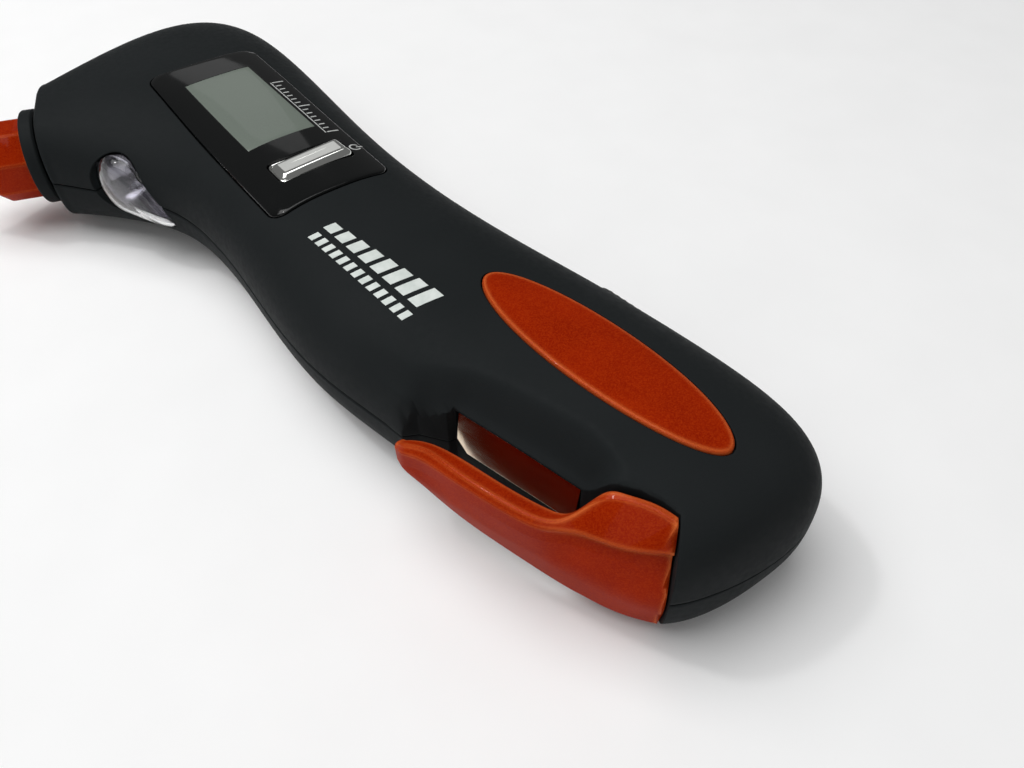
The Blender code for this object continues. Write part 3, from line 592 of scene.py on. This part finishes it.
def half_rings(half):
    """All sections of the upper (+1) or lower (-1) shell, from the tail to the head."""
    turns = np.radians(np.concatenate([np.linspace(0.4, 76, 58), np.linspace(76, 179.6, 50)[1:]]))
    where = SHELL_START + (SHELL_END - SHELL_START) * np.linspace(0, 1, SHELL_ROWS) ** 1.15
    rows = list(sections(half, where, turns, groove=GROOVE))
    rows += end_rings(rows[-1])
    seam = PARTING + half * SEAM
    for row in rows[-HEAD_RINGS:]:
        row[0, 2] = row[-1, 2] = seam
        row[:, 2] = np.maximum(row[:, 2], seam) if half > 0 else np.minimum(row[:, 2], seam)
    return rows


def block_end(reach, offset):
    """A plan point on the line of the block's end, moved sideways towards the tail by offset."""
    (x, y), (along, across) = SLOT_WALL[-1], BLOCK_END
    return x + reach * along - offset * across, y + reach * across + offset * along


def slot_outline(grow=0.0):
    """Plan outline of the notch for the guard and the belt slot."""
    wall = [(x, y + grow) for x, y in SLOT_WALL[:-1]]
    wall[0] = (wall[0][0] - grow, wall[0][1])
    return [(wall[0][0], -20.0), *wall, block_end(-grow, grow), block_end(28, grow)]


def hollow():
    """The room inside both shells, less the solid places round each opening."""
    turns = np.linspace(0, math.pi, 19)
    where = ROOM_START + (ROOM_END - ROOM_START) * np.linspace(0, 1, 40) ** 1.2
    above = sections(1, where, turns, WALL, 0.0)
    below = sections(-1, where, turns, WALL, 0.0)
    rings = [list(a[:-1]) + list(b[::-1][:-1]) for a, b in zip(above, below)]
    room = make("room", *skin(rings))
    keep = [
        make("keep", *prism(slot_outline(3.4), -5, 40)),
        make("keep", *prism(rounded_rectangle((PANEL_SIZE[0] + 4, PANEL_SIZE[1] + 4), 3), 22.9, 40), PANEL),
        make("keep", *prism(ellipse((INLAY_SIZE[0] + 4, INLAY_SIZE[1] + 4), 40), 23.6, 40),
             frame_at((*INLAY_CENTRE, 0))),
        make("keep", *turned([(10.8, -14), (10.8, 10)], 24), HAMMER),
        make("keep", *prism(teardrop(2.0, 12), -8.6, 8), TORCH),
        make("keep", *turned([(8.2, -9), (8.2, 8)], 24), NOZZLE),
        make("keep", *prism(rectangle(DOOR_X, DOOR_Y, 3.0), -5, DOOR_TOP + 0.9)),
    ]
    for x, y in SCREWS:
        keep.append(make("keep", *turned([(3.9, -5), (3.9, 40)], 16), frame_at((x, y, 0))))
    cut(room, keep)
    discard(keep)
    return room


def recess_frame():
    """Upright, with local X along the blade in plan."""
    place = Matrix.Rotation(BLADE_TURN, 4, "Z")
    place.translation = Vector((*BLADE_MIDDLE[:2], 0.0))
    return place


def make_shells():
    """Makes both shells, and returns the uncut top for other pieces to lie on."""
    upper = make("housing_upper", *skin(half_rings(1)), material="housing")
    lower = make("housing_lower", *skin(half_rings(-1)), material="housing")
    top = BVHTree.FromObject(upper, bpy.context.evaluated_depsgraph_get())
    both = [
        hollow(),
        make("cut", *prism(slot_outline(), -5, 40)),
        make("cut", *turned([(7.3, -12), (7.3, 10)]), HAMMER),
        make("cut", *prism(teardrop(0.25), -12, 8), TORCH),
        make("cut", *turned([(6.2, -19), (6.2, 10)]), NOZZLE),
        make("cut", *prism(rectangle(RECESS_X, RECESS_Y), *RECESS_Z), recess_frame()),
    ]
    both += [make("cut", *turned([(1.5, -5), (1.5, 17.5)], 24), frame_at((x, y, 0))) for x, y in SCREWS]
    panel = PANEL_SIZE[0] + 0.5, PANEL_SIZE[1] + 0.5
    above = [
        make("cut", *prism(rounded_rectangle(panel, 2.85), 24.7, 40), PANEL),
        make("cut", *prism(rounded_rectangle((52.4, 18.8), 1.5), 20, 30), PANEL),
        make("cut", *prism(ellipse((INLAY_SIZE[0] + 0.5, INLAY_SIZE[1] + 0.5)), 25.6, 40),
             frame_at((*INLAY_CENTRE, 0))),
        make("cut", *prism(light_key_outline(0.25), -10, 8), KEY_PLACE),
    ]
    below = [
        make("cut", *prism(rectangle(DOOR_X, DOOR_Y, 0.3), -5, DOOR_TOP + 0.3)),
        make("cut", *prism(rectangle(DOOR_X, DOOR_Y, -1.2), -4, 8)),
    ]
    below += [make("cut", *turned([(3.1, -5), (3.1, 3.2)], 32), frame_at((x, y, 0))) for x, y in SCREWS]
    cut(upper, both + above)
    cut(lower, both + below)
    discard(both + above + below)
    for shell, node in ((upper, "upper_shell"), (lower, "lower_shell")):
        shade(shell, SMOOTH_ANGLE)
        finish_piece(shell, "case", [node])
    return top


def light_key_outline(grow):
    size = LIGHT_KEY_SIZE[0] + 2 * grow, LIGHT_KEY_SIZE[1] + 2 * grow
    return rounded_rectangle(size, size[1] / 2 - 0.05, 10)


TOP = make_shells()


def height(x, y):
    """Height of the housing's top in millimetres at a place in the handle's coordinates."""
    hit = TOP.ray_cast(Vector((x, y, 60.0)) * MM + SHIFT, Vector((0, 0, -1)))[0]
    return hit.z / MM if hit else 27.0


def height_under(place, x, y):
    at = place @ Vector((x, y, 0))
    return height(at.x, at.y)


def draped(name, rings, place, above, base, material):
    """A plate let into the top: rings are (outline, drop below the plate's own top) from rim to middle."""
    shaped = [[(x, y, base) for x, y in rings[0][0]]]
    for ring, drop in rings:
        shaped.append([(x, y, height_under(place, x, y) + above - drop) for x, y in ring])
    return make(name, *skin(shaped), place, material)


def spaced(ring, count):
    """The same closed outline with each side cut into equal parts, about count points in all."""
    per = max(1, count // len(ring))
    points = []
    for (ax, ay), (bx, by) in zip(ring, ring[1:] + ring[:1]):
        points += [(ax + (bx - ax) * i / per, ay + (by - ay) * i / per) for i in range(per)]
    return points


def graded(half, edge, step):
    """Places from -half to half: close together within edge of either end, then step apart."""
    near = [half - edge * (1 - math.cos(a)) for a in quarter(6)]
    count = math.ceil(2 * (half - edge) / step)
    middle = [(half - edge) * (1 - 2 * i / count) for i in range(1, count)]
    return near + middle + [-v for v in reversed(near)]


def grid_corners(columns, rows, start=0):
    """First point number of each cell of a grid stored row by row."""
    return [start + j * columns + i for j in range(rows - 1) for i in range(columns - 1)]


def grid_rim(columns, rows):
    """Point numbers round the edge of such a grid."""
    last = (rows - 1) * columns
    rim = list(range(columns)) + [j * columns + columns - 1 for j in range(1, rows)]
    rim += [last + i for i in range(columns - 2, -1, -1)]
    return rim + [j * columns for j in range(rows - 2, 0, -1)]


def rounded_plate(name, size, radius, edge, place, above, base, material):
    """A plate let into the top, with rounded corners and a rounded upper edge, closed down to base."""
    width, depth = size
    xs, ys = graded(width / 2, edge, 1.0), graded(depth / 2, edge, 1.0)
    points = []
    for y in ys:
        over = max(0.0, abs(y) - (depth / 2 - radius))
        half = width / 2 - radius + math.sqrt(max(radius ** 2 - over ** 2, 0.0))
        for x in xs:
            px = x * half / (width / 2)
            cx, cy = width / 2 - radius - abs(px), depth / 2 - radius - abs(y)
            away = radius - math.hypot(min(cx, 0.0), min(cy, 0.0)) + min(max(cx, 0.0), max(cy, 0.0))
            away = min(max(away, 0.0), edge)
            drop = edge - math.sqrt(max(edge ** 2 - (edge - away) ** 2, 0.0))
            points.append((px, y, height_under(place, px, y) + above - drop))
    row = len(xs)
    faces = [(k, k + 1, k + row + 1, k + row) for k in grid_corners(row, len(ys))]
    rim = grid_rim(row, len(ys))
    start, count = len(points), len(rim)
    points += [(points[i][0], points[i][1], base) for i in rim]
    for k in range(count):
        m = (k + 1) % count
        faces.append((rim[k], rim[m], start + m, start + k))
    faces.append(tuple(range(start + count - 1, start - 1, -1)))
    return make(name, points, faces, place, material)


def flat(place, x, y):
    """The height on a flat placement, for slab."""
    return 0.0


def slab(name, quads, material, place, thick=0.03, surface=height_under, body="case", lift=0.0):
    """Thin shapes lying on a surface: each four-sided shape becomes one thin closed plate."""
    points, faces = [], []
    step, sunk = 0.5, -0.08
    for quad in quads:
        a, b, c, d = (np.array(corner, float) for corner in quad)
        nx = max(1, math.ceil(max(np.linalg.norm(b - a), np.linalg.norm(c - d)) / step))
        ny = max(1, math.ceil(max(np.linalg.norm(d - a), np.linalg.norm(c - b)) / step))
        row, start, layer = nx + 1, len(points), (nx + 1) * (ny + 1)
        grid = []
        for v in (j / ny for j in range(ny + 1)):
            for u in (i / nx for i in range(nx + 1)):
                grid.append((1 - v) * ((1 - u) * a + u * b) + v * ((1 - u) * d + u * c))
        for offset in (thick, sunk):
            points += [(x, y, surface(place, x, y) + lift + offset) for x, y in grid]
        for k in grid_corners(row, ny + 1, start):
            faces.append((k, k + 1, k + row + 1, k + row))
            faces.append((k + layer + row, k + layer + row + 1, k + layer + 1, k + layer))
        rim = [start + k for k in grid_rim(row, ny + 1)]
        for k, m in zip(rim, rim[1:] + rim[:1]):
            faces.append((m, k, layer + k, layer + m))
    finish_piece(make(name, points, faces, place, material), body)


def make_panel():
    panel = rounded_plate("display_panel", PANEL_SIZE, 2.6, 0.4, PANEL, PANEL_LIFT, PANEL_BASE, "gloss")
    key_hole = rounded_rectangle((KEY_SIZE[0] + 0.7, KEY_SIZE[1] + 0.7), 1.1)
    half_width, half_depth = LCD_SIZE[0] / 2, LCD_SIZE[1] / 2
    lcd_hole = rectangle((-half_width, half_width), (-half_depth, half_depth))
    holes = [make("cut", *prism(key_hole, 20, 40), panel_frame(KEY_OFFSET)),
             make("cut", *prism(lcd_hole, 20, 40), panel_frame(LCD_OFFSET))]
    cut(panel, holes)
    discard(holes)
    shade(panel, 35)
    finish_piece(panel, "case", ["display_window"])
    glass = LCD_SIZE[0] - 0.04, LCD_SIZE[1] - 0.04
    place = panel_frame(LCD_OFFSET)
    lcd = rounded_plate("display_lcd", glass, 0.15, 0.05, place, PANEL_LIFT - 0.02, LCD_BASE, "lcd")
    finish_piece(lcd, "case", ["lcd_module"])
    make_power_key()
    make_panel_prints()


def make_power_key():
    """Chrome key: upright sides, a broad bevel and a slightly tilted top, lower at its far end."""
    place = panel_frame(KEY_OFFSET)
    rings = []
    steps = [(0.0, 24.1), (0.0, 27.4), (0.04, 27.75), (0.16, 28.0), (0.75, 28.55), (0.9, 28.66), (1.1, 28.72)]
    for draw, z in steps:
        ring = rounded_rectangle((KEY_SIZE[0] - 2 * draw, KEY_SIZE[1] - 2 * draw), 1.0 - draw * 0.5, 8)
        rings.append([(x, y, z - crown(x, y, z)) for x, y in spaced(ring, 140)])
    for share in (0.8, 0.5, 0.2):
        ring = rounded_rectangle((KEY_SIZE[0] - 2.2, KEY_SIZE[1] - 2.2), 0.45, 8)
        ring = [(x * share, y * (1 - (1 - share) * 0.35)) for x, y in spaced(ring, 140)]
        rings.append([(x, y, 28.74 - crown(x, y, 28.74)) for x, y in ring])
    key = make("power_key_cap", *skin(rings), place, "chrome", 25)
    finish_piece(key, "power_key", ["power_button"])


def crown(x, y, z):
    """How far the key's top lies below its highest corner."""
    return 0.0 if z < 27.6 else 0.055 * (3.0 - x) + 0.045 * (7.2 - y) - 0.15 + 0.08 * (y / 7.2) ** 2


def ring_parts(centre, radius, width, start, end, parts):
    """An arc as short four-sided shapes that meet end to end."""
    out = []
    for i in range(parts):
        quad = []
        for share, r in ((i, radius - width / 2), (i, radius + width / 2), (i + 1, radius + width / 2),
                         (i + 1, radius - width / 2)):
            a = math.radians(start + (end - start) * share / parts)
            quad.append((centre[0] + r * math.cos(a), centre[1] + r * math.sin(a)))
        out.append(quad)
    return out


def make_panel_prints():
    """Generic prints: a scale along the panel's far edge and the power sign beyond the key."""
    ticks = []
    for i in range(15):
        x = -11.5 + 1.62 * i
        tall = 2.3 if i % 7 == 0 else 1.15
        ticks.append([(x - 0.17, 8.2), (x + 0.17, 8.2), (x + 0.17, 8.2 + tall), (x - 0.17, 8.2 + tall)])
    ticks.append([(-11.7, 7.75), (11.35, 7.75), (11.35, 7.95), (-11.7, 7.95)])
    slab("panel_scale", ticks, "grey_print", PANEL, lift=PANEL_LIFT)
    centre = (KEY_OFFSET[0] + 0.4, KEY_OFFSET[1] + 8.9)
    sign = ring_parts(centre, 0.95, 0.3, 125, 415, 12)
    sign.append([(centre[0] - 0.15, centre[1] + 0.25), (centre[0] + 0.15, centre[1] + 0.25),
                 (centre[0] + 0.15, centre[1] + 1.5), (centre[0] - 0.15, centre[1] + 1.5)])
    slab("power_sign", sign, "grey_print", PANEL, lift=PANEL_LIFT)


def make_neck_print():
    """Generic level graphic on the neck: slanted bars that grow, and a row of short dashes."""
    place = Matrix.Translation((3.0, 0.0, 0.0)) @ Matrix.Rotation(math.radians(-2.5), 4, "Z")
    bars = []
    for i in range(8):
        x, tall = 0.4 + 3.35 * i, 2.1 + 0.33 * i
        bars.append([(x, 2.7), (x + 2.35, 2.7), (x + 2.35 + 0.25 * tall, 2.7 + tall),
                     (x + 0.25 * tall, 2.7 + tall)])
    for i in range(13):
        x = 0.2 + 2.08 * i
        bars.append([(x, -0.3), (x + 1.25, -0.3), (x + 1.7, 1.5), (x + 0.45, 1.5)])
    slab("neck_graphic", bars, "print", place)


def make_inlay():
    edge = 0.4
    levels = [(edge * (1 - math.cos(a)), edge * (1 - math.sin(a))) for a in quarter(5)]
    levels += [(draw, 0.0) for draw in (0.7, 1.2, 2.0, 3.0, 4.2, 5.4)]
    shaped = []
    for draw, drop in levels:
        shaped.append((ellipse((INLAY_SIZE[0] - 2 * draw, INLAY_SIZE[1] - 2 * draw)), drop))
    plate = draped("grip_plate", shaped, frame_at((*INLAY_CENTRE, 0)), 0.3, 25.9, "orange")
    finish_piece(plate, "case", ["grip_inlay"])


def octagon(across, rise, rounding=0.7):
    corner = across / math.cos(math.pi / 8)
    angles = [math.pi / 8 + math.pi / 4 * i for i in range(8)]
    points = [(corner * math.cos(a), corner * math.sin(a)) for a in angles]
    return [(x, y, rise) for x, y in fillet(points, [rounding] * 8, 5)]


def make_hammer():
    collar = [(7.0, -10), (7.0, -0.5), (9.1, -0.5), (9.5, -0.1)]
    collar += [(9.5 - 0.6 * (1 - math.cos(a)), 1.7 + 0.6 * math.sin(a)) for a in quarter(6)]
    collar += [(7.9, 2.3), (7.8, 2.0), (5.2, 2.0), (5.2, -6.5)]
    piece = make("nose_collar", *turned(collar, 72), HAMMER, "housing", 30)
    finish_piece(piece, "case", ["hammer_collar"])
    rings = [octagon(4.6, 1.6), octagon(7.35, 2.2), octagon(7.5, 2.5), octagon(7.5, 9.1), octagon(7.46, 9.5),
             octagon(7.3, 9.85), octagon(3.6, 15.1, 0.5), octagon(3.4, 15.45, 0.5), octagon(3.0, 15.6, 0.5)]
    piece = make("nose_octagon", *skin(rings), HAMMER, "orange", 30)
    finish_piece(piece, "case", ["hammer_nose"])
    tip = [(1.5, 13.0), (1.5, 15.9), (2.5, 15.9), (2.6, 16.0), (2.6, 16.7), (2.5, 16.85), (0.6, 20.2),
           (0.45, 20.45), (0.2, 20.58)]
    piece = make("nose_point", *turned(tip, 48), HAMMER, "steel", 30)
    finish_piece(piece, "case", ["hammer_point"])


def torch_rings(levels):
    """Teardrop outlines drawn towards the LED's circle: each level is (share, depth)."""
    rings = []
    for share, depth in levels:
        ring = []
        for x, y in teardrop(-0.05):
            dx, dy = x - LED_AT[0], y - LED_AT[1]
            away = math.hypot(dx, dy)
            cx, cy = LED_AT[0] + LED_WELL * dx / away, LED_AT[1] + LED_WELL * dy / away
            ring.append((x + (cx - x) * share, y + (cy - y) * share, depth))
        rings.append(ring)
    return rings


def bowl_depth(share):
    """Depth of the torch's bowl, from its rim at 0 to the LED at 1."""
    return -0.4 - 5.4 * (1 - (1 - share) ** 2)


def make_torch():
    levels = [(0.0, -7.5), (0.0, -0.4), (0.04, -0.4)]
    levels += [(s, bowl_depth(s)) for s in np.linspace(0.07, 0.44, 12)] + [(0.46, -5.8), (0.46, -7.2)]
    bowl = make("torch_bowl", *skin(torch_rings(levels)), TORCH, "reflector", 60)
    finish_piece(bowl, "case", ["torch_reflector"])
    # The bowl's middle is a separate piece in the near-black reflector: painted shade round the LED.
    levels = [(0.47, -7.0)] + [(s, bowl_depth(s)) for s in np.linspace(0.47, 0.97, 12)]
    levels += [(1.0, -6.1), (1.0, -6.9)]
    core = make("torch_core", *skin(torch_rings(levels)), TORCH, "shaded", 60)
    finish_piece(core, "case")
    make_lens()
    make_led()


def make_lens():
    """Clear body with a domed front and a domed back, so that it is about as thick all over."""
    middle = (LED_AT[0] + 1.2, LED_AT[1] - 0.8)
    dome = [(0.0, 0.3), (0.02, 0.8), (0.06, 1.3), (0.13, 1.8), (0.23, 2.25), (0.36, 2.6), (0.52, 2.85),
            (0.7, 2.98), (0.9, 3.05)]
    levels = [(share, z - 0.9) for share, z in dome[::-1]] + [(0.0, -0.75)] + dome
    rings = []
    for share, z in levels:
        ring = [(x + (middle[0] - x) * share, y + (middle[1] - y) * share) for x, y in teardrop(0.0)]
        rings.append([(x, y, z) for x, y in ring])
    lens = make("torch_window", *skin(rings), TORCH, "clear", 50)
    finish_piece(lens, "case", ["torch_lens"])


def make_led():
    led_place = TORCH @ Matrix.Translation((*LED_AT, 0))
    seat = make("bulb_seat", *turned([(2.55, -6.0), (3.9, -5.7), (3.7, -5.1), (2.55, -5.5)], 48), led_place,
                "component")
    finish_piece(seat, "case")
    led = [(2.9, -7.15), (2.9, -6.3), (2.5, -6.2), (2.5, -4.2)]
    led += [(2.5 * math.cos(a), -4.2 + 2.2 * math.sin(a)) for a in quarter(9, 1)[:-1]]
    led += [(0.2, -2.0)]
    piece = make("torch_bulb", *turned(led, 40), led_place, "led", 50)
    finish_piece(piece, "case", ["torch_led"])
    cup = [(0.5, -6.1), (0.9, -5.2), (1.0, -5.1), (0.7, -5.1), (0.5, -5.35)]
    finish_piece(make("bulb_cup", *turned(cup, 24), led_place, "phosphor"), "case")


def make_cutter():
    """Orange finger and block, as one surface through rounded sections."""
    rows = [[x, low, ya, yb, *c, *d, *e] for x, low, ya, yb, c, d, e in FRAME]
    where = np.linspace(0, len(FRAME) - 1, GUARD_RINGS)
    rings = []
    for x, low, ya, yb, cy, cz, dy, dz, ey, ez in smooth_curve(rows, where):
        crease = CREASE_DEPTH * float(smooth_step(x, CREASE_START, CREASE_FULL))
        corner = [(ya + 1.2, low), (ya, low + 1.3), (yb, 12.5), (cy + 0.15 * crease, cz - 2.8),
                  (cy + crease, cz - 0.9), (cy, cz), (dy, dz), (ey, ez), (ey, low)]
        rings.append([(x, y, z) for y, z in fillet(corner, GUARD_RADII)])
    piece = make("cutter_guard", *skin(rounded_end(rings, 1.3) + rings), IDENTITY, "orange", 42)
    beyond = [block_end(-12, -0.3), block_end(40, -0.3), block_end(40, 20), block_end(-12, 20)]
    end = [make("cut", *prism(beyond, -5, 40))]
    cut(piece, end)
    discard(end)
    finish_piece(piece, "case", ["cutter_frame"])
    make_blade()


def rounded_end(rings, radius):
    """Extra sections that close the finger's tip with a rounded edge."""
    base = np.array(rings[0])
    away = base - base.mean(axis=0)
    size = np.linalg.norm(away, axis=1, keepdims=True)
    out = []
    for a in reversed(quarter(6, 1)):
        shrink = np.minimum(radius * (1 - math.cos(a)), size * 0.6)
        ring = base - away / size * shrink
        ring[:, 0] = base[:, 0] - radius * math.sin(a) * 0.8
        out.append([tuple(p) for p in ring])
    return out


def make_blade():
    """Flat blade with its lower edge ground from both sides and a cut-off corner at the mouth."""
    turn = Matrix.Rotation(BLADE_TURN, 3, "Z")
    down = turn @ Vector((0, -math.sin(BLADE_TILT), -math.cos(BLADE_TILT)))
    x = turn @ Vector((1, 0, 0))
    place = Matrix((x, down, x.cross(down))).transposed().to_4x4()
    place.translation = Vector(BLADE_MIDDLE)
    half = BLADE_THICK / 2
    rows = []
    for px, edge in ((-10.9, 5.6), (-9.85, 6.5), (-8.8, 7.4), (0.0, 7.4), (10.8, 7.4)):
        rows.append([(px, 0.0, -half), (px, edge - 3.4, -half), (px, edge, -0.2), (px, edge, -0.14),
                     (px, edge - 1.6, half), (px, 0.0, half)])
    blade = make("belt_blade", *skin(rows), place, "blade", 15)
    finish_piece(blade, "case", ["cutter_blade"])


def make_nozzle():
    body = [(1.5, -21.5), (1.5, -16), (5.6, -16), (5.9, -15.7), (5.9, -0.9), (5.6, -0.35), (5.2, 0.0),
            (4.75, 0.0), (4.3, -0.5), (4.3, -11.4), (0.9, -11.4), (0.9, -21.4)]
    piece = make("valve_socket", *turned(body, 64), NOZZLE, "brass", 30)
    finish_piece(piece, "case", ["valve_nozzle"])
    seal = [(2.1, -11.1), (4.1, -11.1), (4.15, -10.9), (4.1, -9.4), (3.9, -9.15), (2.3, -9.15), (2.1, -9.4)]
    ring = make("socket_seal", *turned(seal + [(2.1, -11.0)], 48), NOZZLE, "rubber", 40)
    finish_piece(ring, "case", ["nozzle_seal"])


def make_light_key():
    rings = []
    for draw, depth in ((0.0, 2.8), (0.0, 0.75), (0.08, 0.45), (0.3, 0.2), (0.7, 0.05), (1.2, 0.0),
                        (2.0, 0.0)):
        ring = rounded_rectangle((LIGHT_KEY_SIZE[0] - 2 * draw, LIGHT_KEY_SIZE[1] - 2 * draw), 2.7 - draw, 10)
        rings.append([(x, y, -depth) for x, y in ring])
    key = make("torch_key_cap", *skin(rings), KEY_PLACE, "rubber", 40)
    finish_piece(key, "torch_key", ["torch_button"])
    ribs = []
    for i in range(-2, 3):
        ribs.append([(i * 1.5 - 0.28, -1.5), (i * 1.5 + 0.28, -1.5), (i * 1.5 + 0.28, 1.5),
                     (i * 1.5 - 0.28, 1.5)])
    slab("torch_key_ribs", ribs, "rubber", KEY_PLACE, 0.22, flat, "torch_key")


def make_door_grip():
    """Raised ridges and an arrow on the outside of the battery door."""
    ridges = []
    for i in range(6):
        x = 54.0 + 1.6 * i
        ridges.append([(x, 10.2), (x + 0.8, 10.2), (x + 0.8, 21.2), (x, 21.2)])
    arrow = [(50.8, 13.2), (50.8, 18.2), (47.7, 15.8), (47.7, 15.6)]
    under = Matrix.Scale(-1, 4, (0, 0, 1))
    slab("door_grip", ridges + [arrow], "housing", under, 0.22, flat, "door")


def dress(nodes, material):
    """Gives CAD nodes that keep their own shape a better material."""
    for node in nodes:
        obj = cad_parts[node]
        obj.data.materials.clear()
        obj.data.materials.append(MATERIAL[material])
        shade(obj, SMOOTH_ANGLE)


# ---------------------------------------------------------------- stage

def make_stage():
    """Pale floor just under the object, an even sky and the lights."""
    floor = bpy.data.meshes.new("floor")
    size, low = 2.5, -0.0003
    floor.from_pydata([(-size, -size, low), (size, -size, low), (size, size, low), (-size, size, low)], [],
                      [(0, 1, 2, 3)])
    obj = bpy.data.objects.new("floor", floor)
    bpy.context.scene.collection.objects.link(obj)
    floor.materials.append(MATERIAL["floor"])

    world = bpy.data.worlds.new("studio")
    bpy.context.scene.world = world
    world.use_nodes = True
    sky = world.node_tree.nodes["Background"].inputs
    sky["Color"].default_value = (1.0, 1.0, 1.0, 1.0)
    sky["Strength"].default_value = SKY

    for name, at, towards, sides, power in LIGHTS:
        light = bpy.data.lights.new(name, "AREA")
        light.shape, light.size, light.size_y = "RECTANGLE", *sides
        light.energy = power
        lamp = bpy.data.objects.new(name, light)
        lamp.location = at
        lamp.rotation_euler = (Vector(towards) - Vector(at)).to_track_quat("-Z", "Y").to_euler()
        bpy.context.scene.collection.objects.link(lamp)


def make_camera():
    camera = bpy.data.cameras.new("camera")
    camera.lens, camera.sensor_width = FOCAL_LENGTH, SENSOR_WIDTH
    camera.clip_start, camera.clip_end = 0.01, 20.0
    obj = bpy.data.objects.new("camera", camera)
    back = -Vector(CAMERA_WAY).normalized()
    right = Vector(CAMERA_RIGHT).normalized()
    up = back.cross(right)
    obj.matrix_world = Matrix((right, up, back)).transposed().to_4x4()
    obj.location = Vector(CAMERA_AT) * MM + SHIFT
    bpy.context.scene.collection.objects.link(obj)
    bpy.context.scene.camera = obj


make_panel()
make_neck_print()
make_inlay()
make_hammer()
make_torch()
make_cutter()
make_nozzle()
make_light_key()
make_door_grip()
dress(["battery_door"], "housing")
dress(["case_screw_1", "case_screw_2", "case_screw_3", "case_screw_4", "battery_spring_1", "battery_spring_2",
       "head_contact", "tail_contact", "pressure_sensor"], "steel")
dress(["valve_pin"], "brass")
dress(["sensor_hose"], "rubber")
dress(["main_board", "torch_board"], "board")
dress(["gauge_chip", "power_switch", "power_switch_plunger", "torch_switch", "torch_switch_plunger"],
      "component")
dress(["battery_1", "battery_2"], "cell")
make_stage()
make_camera()
bpy.context.scene.view_settings.view_transform = "Standard"
